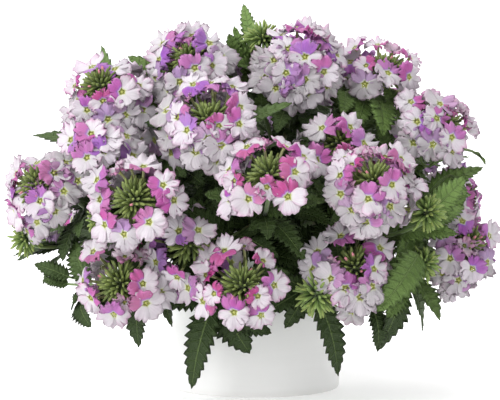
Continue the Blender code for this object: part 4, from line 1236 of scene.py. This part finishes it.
def inner_leaves(end, rng):
    """Leaves that fill the plant behind the heads: opposite pairs up each stem, where they have room."""
    points = stem_points(end)
    lengths = np.linalg.norm(np.diff(points, axis=0), axis=1)
    total = lengths.sum()
    turn = rng.uniform(0, math.tau)
    at = FIRST_ON_MAIN if points[0][2] < SOIL_TOP else FIRST_ON_FORK
    while at < total - LAST_BEFORE_TIP:
        i = int(np.searchsorted(np.cumsum(lengths), at))
        part = (at - (np.cumsum(lengths)[i] - lengths[i])) / lengths[i]
        root = points[i] * (1 - part) + points[i + 1] * part
        way = unit(points[i + 1] - points[i])
        cross = unit(np.cross(way, (0.1, 0.2, 1)))
        other = np.cross(way, cross)
        turn += math.pi / 2 + rng.uniform(-0.3, 0.3)
        for sign in (1, -1):
            for _ in range(LEAF_TRIES):
                spin = turn + rng.uniform(-0.6, 0.6)
                out = sign * (math.cos(spin) * cross + math.sin(spin) * other)
                lift = rng.uniform(0.25, 0.8)
                length = rng.uniform(0.026, 0.042)
                tip = root + unit(out + way * lift) * length
                samples = root + np.linspace(0.25, 1.0, 5)[:, None] * (tip - root)
                if tip[2] > POT_HEIGHT - 0.03 and in_the_dome(tip) and free_of_heads(samples):
                    yield root, tip, rng.uniform(0.40, 0.50) * np.linalg.norm(tip - root)
                    break
        at += rng.uniform(*APART)


def resampled(path, count):
    """The path with another number of points."""
    old, new = np.linspace(0, 1, len(path)), np.linspace(0, 1, count)
    return np.column_stack([np.interp(new, old, path[:, k]) for k in range(3)])


def make_shoots(throats, looks):
    """The green pieces: stems, leaves, the tufts of calyces, and the calyx of each open floret."""
    made = {}
    rng = random.Random(31)
    for shoot, ends in SHOOTS.items():
        build = Build()
        for end in ends:
            add_stem(build, end, end != ends[0])
        for root, *leaves in LEAVES.get(shoot, ()):
            for *tip, width in leaves:
                add_listed_leaf(build, root, tip, width, rng)
        for foot, root, (*tip, width) in STALKED.get(shoot, ()):
            add_stalk(build, in_metres(foot), in_metres(root), in_metres(tip))
            add_listed_leaf(build, root, tip, width, rng)
        for end in ends:
            own = random.Random("leaves " + end)
            for root, tip, width in inner_leaves(end, own):
                # Inner leaves are painted darker still, as shade inside the plant.
                add_leaf(build, root, tip, width, 0.7 * painted_leaf_light(tip, own), own)
            if end in BUDS:
                add_tuft(build, end, "buds", 0.88 * BUDS[end][2], 0.002, rng)
            elif end in HEADS:
                add_tuft(build, end, "head", 1.02, HIGH_TUFTS.get(end, TUFT_UP), rng)
                for path in throats[end]:
                    spine = resampled(path[:1:-1], 6)
                    add_calyx(build, spine, OPEN_CALYX_RADIUS, (0, rng.uniform(0, 0.6), 0), rng.random())
        made[shoot] = build.make(shoot + "_green", looks)
    return made


def make_heads(looks):
    """The coloured pieces, one for each head, and the ways of their corolla tubes."""
    made, throats = {}, {}
    taken = []
    for i, name in enumerate(HEADS):
        rng = random.Random(100 + i)
        build = Build()
        seat, turn, found = florets_of(name, taken, rng)
        add_florets(build, name, found, rng, np.random.default_rng(i))
        add_throats(build, found, seat, turn)
        taken += [floret[0] for floret in found]
        throats[name] = [tube_path(place, rotation, seat, turn) for place, rotation, _ in found]
        made[name] = build.make("florets_" + name, looks)
    return made, throats


def lathe(name, outline, sides, look):
    """A closed round piece from an outline of (radius, height) points that starts and ends on the axis."""
    build = Build()
    angles = np.arange(sides) * math.tau / sides
    points = [(0, 0, outline[0][1])]
    for radius, height in outline[1:-1]:
        points += [(radius * math.cos(a), radius * math.sin(a), height) for a in angles]
    points.append((0, 0, outline[-1][1]))
    count = len(outline) - 2
    quads = tube_topology(count, sides) + 1
    near = [(k + 1) % sides for k in range(sides)]
    last = 1 + (count - 1) * sides
    tris = [(0, 1 + near[k], 1 + k) for k in range(sides)]
    tris += [(len(points) - 1, last + k, last + near[k]) for k in range(sides)]
    build.add(points, (0, 0, 0), (0, 0, 0), quads, tris)
    return build.make(name, [look])


def rounded(corner, before, after, radius, steps=5):
    """Points of a round corner on an outline between two straight lines."""
    corner, before, after = (np.array(p, float) for p in (corner, before, after))
    start = corner + unit(before - corner) * radius
    end = corner + unit(after - corner) * radius
    shares = np.linspace(0, 1, steps)[:, None]
    curve = start * (1 - shares) ** 2 + corner * (2 * shares * (1 - shares)) + end * shares**2
    return [tuple(p) for p in curve]


def make_pot(look):
    inner = POT_RADIUS - POT_WALL
    corners = [
        (0, 0), (POT_RADIUS, 0), (POT_RADIUS, POT_HEIGHT),
        (inner, POT_HEIGHT), (inner, POT_FLOOR), (0, POT_FLOOR),
    ]
    outline = [corners[0], (POT_RADIUS * 0.6, 0)]
    for i, radius in ((1, 0.0022), (2, 0.0012), (3, 0.0012), (4, 0.0015)):
        outline += rounded(corners[i], corners[i - 1], corners[i + 1], radius)
        if i == 1:
            outline += [(POT_RADIUS, POT_HEIGHT * s) for s in (0.25, 0.5, 0.75)]
    outline.append(corners[-1])
    return lathe("pot_white_cylinder", outline, 128, look)


def make_soil(look):
    """Crumbly potting soil with a lumpy top."""
    radius = POT_RADIUS - POT_WALL - SOIL_GAP
    sides, ring_count, lump_count, lump_height = 96, 30, 420, 0.0011
    rng = np.random.default_rng(5)
    lumps = [
        (rng.uniform(-radius, radius, 2), rng.uniform(0.0012, 0.004), rng.uniform(-1, 1.4))
        for _ in range(lump_count)
    ]
    build = Build()
    points = [(0, 0, SOIL_TOP)]
    for i in range(1, ring_count + 1):
        out = radius * i / ring_count
        for k in range(sides):
            angle = math.tau * k / sides
            points.append((out * math.cos(angle), out * math.sin(angle), SOIL_TOP))
    top = np.array(points)
    for centre, wide, high in lumps:
        gap = np.linalg.norm(top[:, :2] - centre, axis=1)
        top[:, 2] += high * lump_height * np.exp(-((gap / wide) ** 2))
    low = top[-sides:].copy()
    low[:, 2] = POT_FLOOR + SOIL_GAP
    everything = np.vstack((top, low, (0, 0, POT_FLOOR + SOIL_GAP)))
    quads = tube_topology(ring_count + 1, sides)[:, ::-1] + 1
    near = [(k + 1) % sides for k in range(sides)]
    last = 1 + ring_count * sides
    tris = [(0, 1 + k, 1 + near[k]) for k in range(sides)]
    tris += [(len(everything) - 1, last + near[k], last + k) for k in range(sides)]
    build.add(everything, (0, 0, 0), (0, 0, 0), quads, tris)
    return build.make("soil_crumbs", [look])


# The studio, in metres and watts. Each lamp is a disk that looks at the plant: place, width and power.
FLOOR_REACH = 9.0
FLOOR_END = 2.2
SWEEP = 1.2
WALL_TOP = 4.0
LAMP_TARGET = np.array((0, 0, 0.1))
LAMPS = {
    "key": ((-2.0, -1.7, 1.9), 3.0, 106),
    "fill": ((1.7, -1.5, 1.4), 2.2, 4),
    "back": ((0.3, 1.4, 1.8), 1.8, 4),
    "top": ((0, 0.3, 2.3), 1.6, 20),
}
SKY = 0.74


def make_stage():
    """A pale floor that sweeps up behind into a backdrop."""
    made, _, shader = material("pale backdrop", 0.9)
    shader.inputs["Base Color"].default_value = (0.93, 0.93, 0.93, 1)
    shader.inputs["Emission Color"].default_value = (1, 1, 1, 1)
    shader.inputs["Emission Strength"].default_value = 0.28
    bend = np.linspace(0.1, math.pi / 2, 12)
    outline = [(-FLOOR_REACH, 0.0), (FLOOR_END, 0.0)]
    outline += [(FLOOR_END + SWEEP * math.sin(a), SWEEP - SWEEP * math.cos(a)) for a in bend]
    outline.append((FLOOR_END + SWEEP, WALL_TOP))
    points = [(x, y, z) for y, z in outline for x in (-FLOOR_REACH, FLOOR_REACH)]
    faces = [(2 * i, 2 * i + 1, 2 * i + 3, 2 * i + 2) for i in range(len(outline) - 1)]
    mesh = bpy.data.meshes.new("backdrop")
    mesh.from_pydata(points, [], faces)
    for face in mesh.polygons:
        face.use_smooth = True
    mesh.materials.append(made)
    floor = bpy.data.objects.new("backdrop", mesh)
    bpy.context.scene.collection.objects.link(floor)


def make_lamps():
    for name, (place, size, power) in LAMPS.items():
        data = bpy.data.lights.new(name, "AREA")
        data.shape = "DISK"
        data.size = size
        data.energy = power
        lamp = bpy.data.objects.new(name, data)
        lamp.location = place
        turn = frame_towards(np.array(place) - LAMP_TARGET, np.array((0, 0, 1)))
        lamp.rotation_euler = Matrix(turn.tolist()).to_euler()
        bpy.context.scene.collection.objects.link(lamp)
    world = bpy.data.worlds.new("studio")
    world.use_nodes = True
    background = world.node_tree.nodes["Background"]
    background.inputs["Color"].default_value = (1, 1, 1, 1)
    background.inputs["Strength"].default_value = SKY
    bpy.context.scene.world = world
    bpy.context.scene.view_settings.view_transform = "Standard"


def make_camera():
    data = bpy.data.cameras.new("camera")
    data.sensor_fit = "HORIZONTAL"
    data.sensor_width = 36
    data.lens = FOCAL_PIXELS / IMAGE_SIZE[0] * data.sensor_width
    data.clip_end = 50
    camera = bpy.data.objects.new("camera", data)
    camera.location = CAMERA
    camera.rotation_euler = (math.radians(90 - CAMERA_DIP), 0, 0)
    bpy.context.scene.collection.objects.link(camera)
    bpy.context.scene.camera = camera


def take_place(piece, node_name):
    """Puts a piece in the place of the frame's node."""
    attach(piece, "root")
    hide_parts(node_name)


def main():
    make_camera()
    make_stage()
    make_lamps()
    heads, throats = make_heads([petal_material(), throat_material()])
    for name, piece in heads.items():
        take_place(piece, "head_" + name)
    greens = make_shoots(throats, [leaf_material(), stem_material(), calyx_material()])
    for shoot, piece in greens.items():
        take_place(piece, shoot)
    take_place(make_pot(pot_material()), "pot")
    take_place(make_soil(soil_material()), "soil")


main()
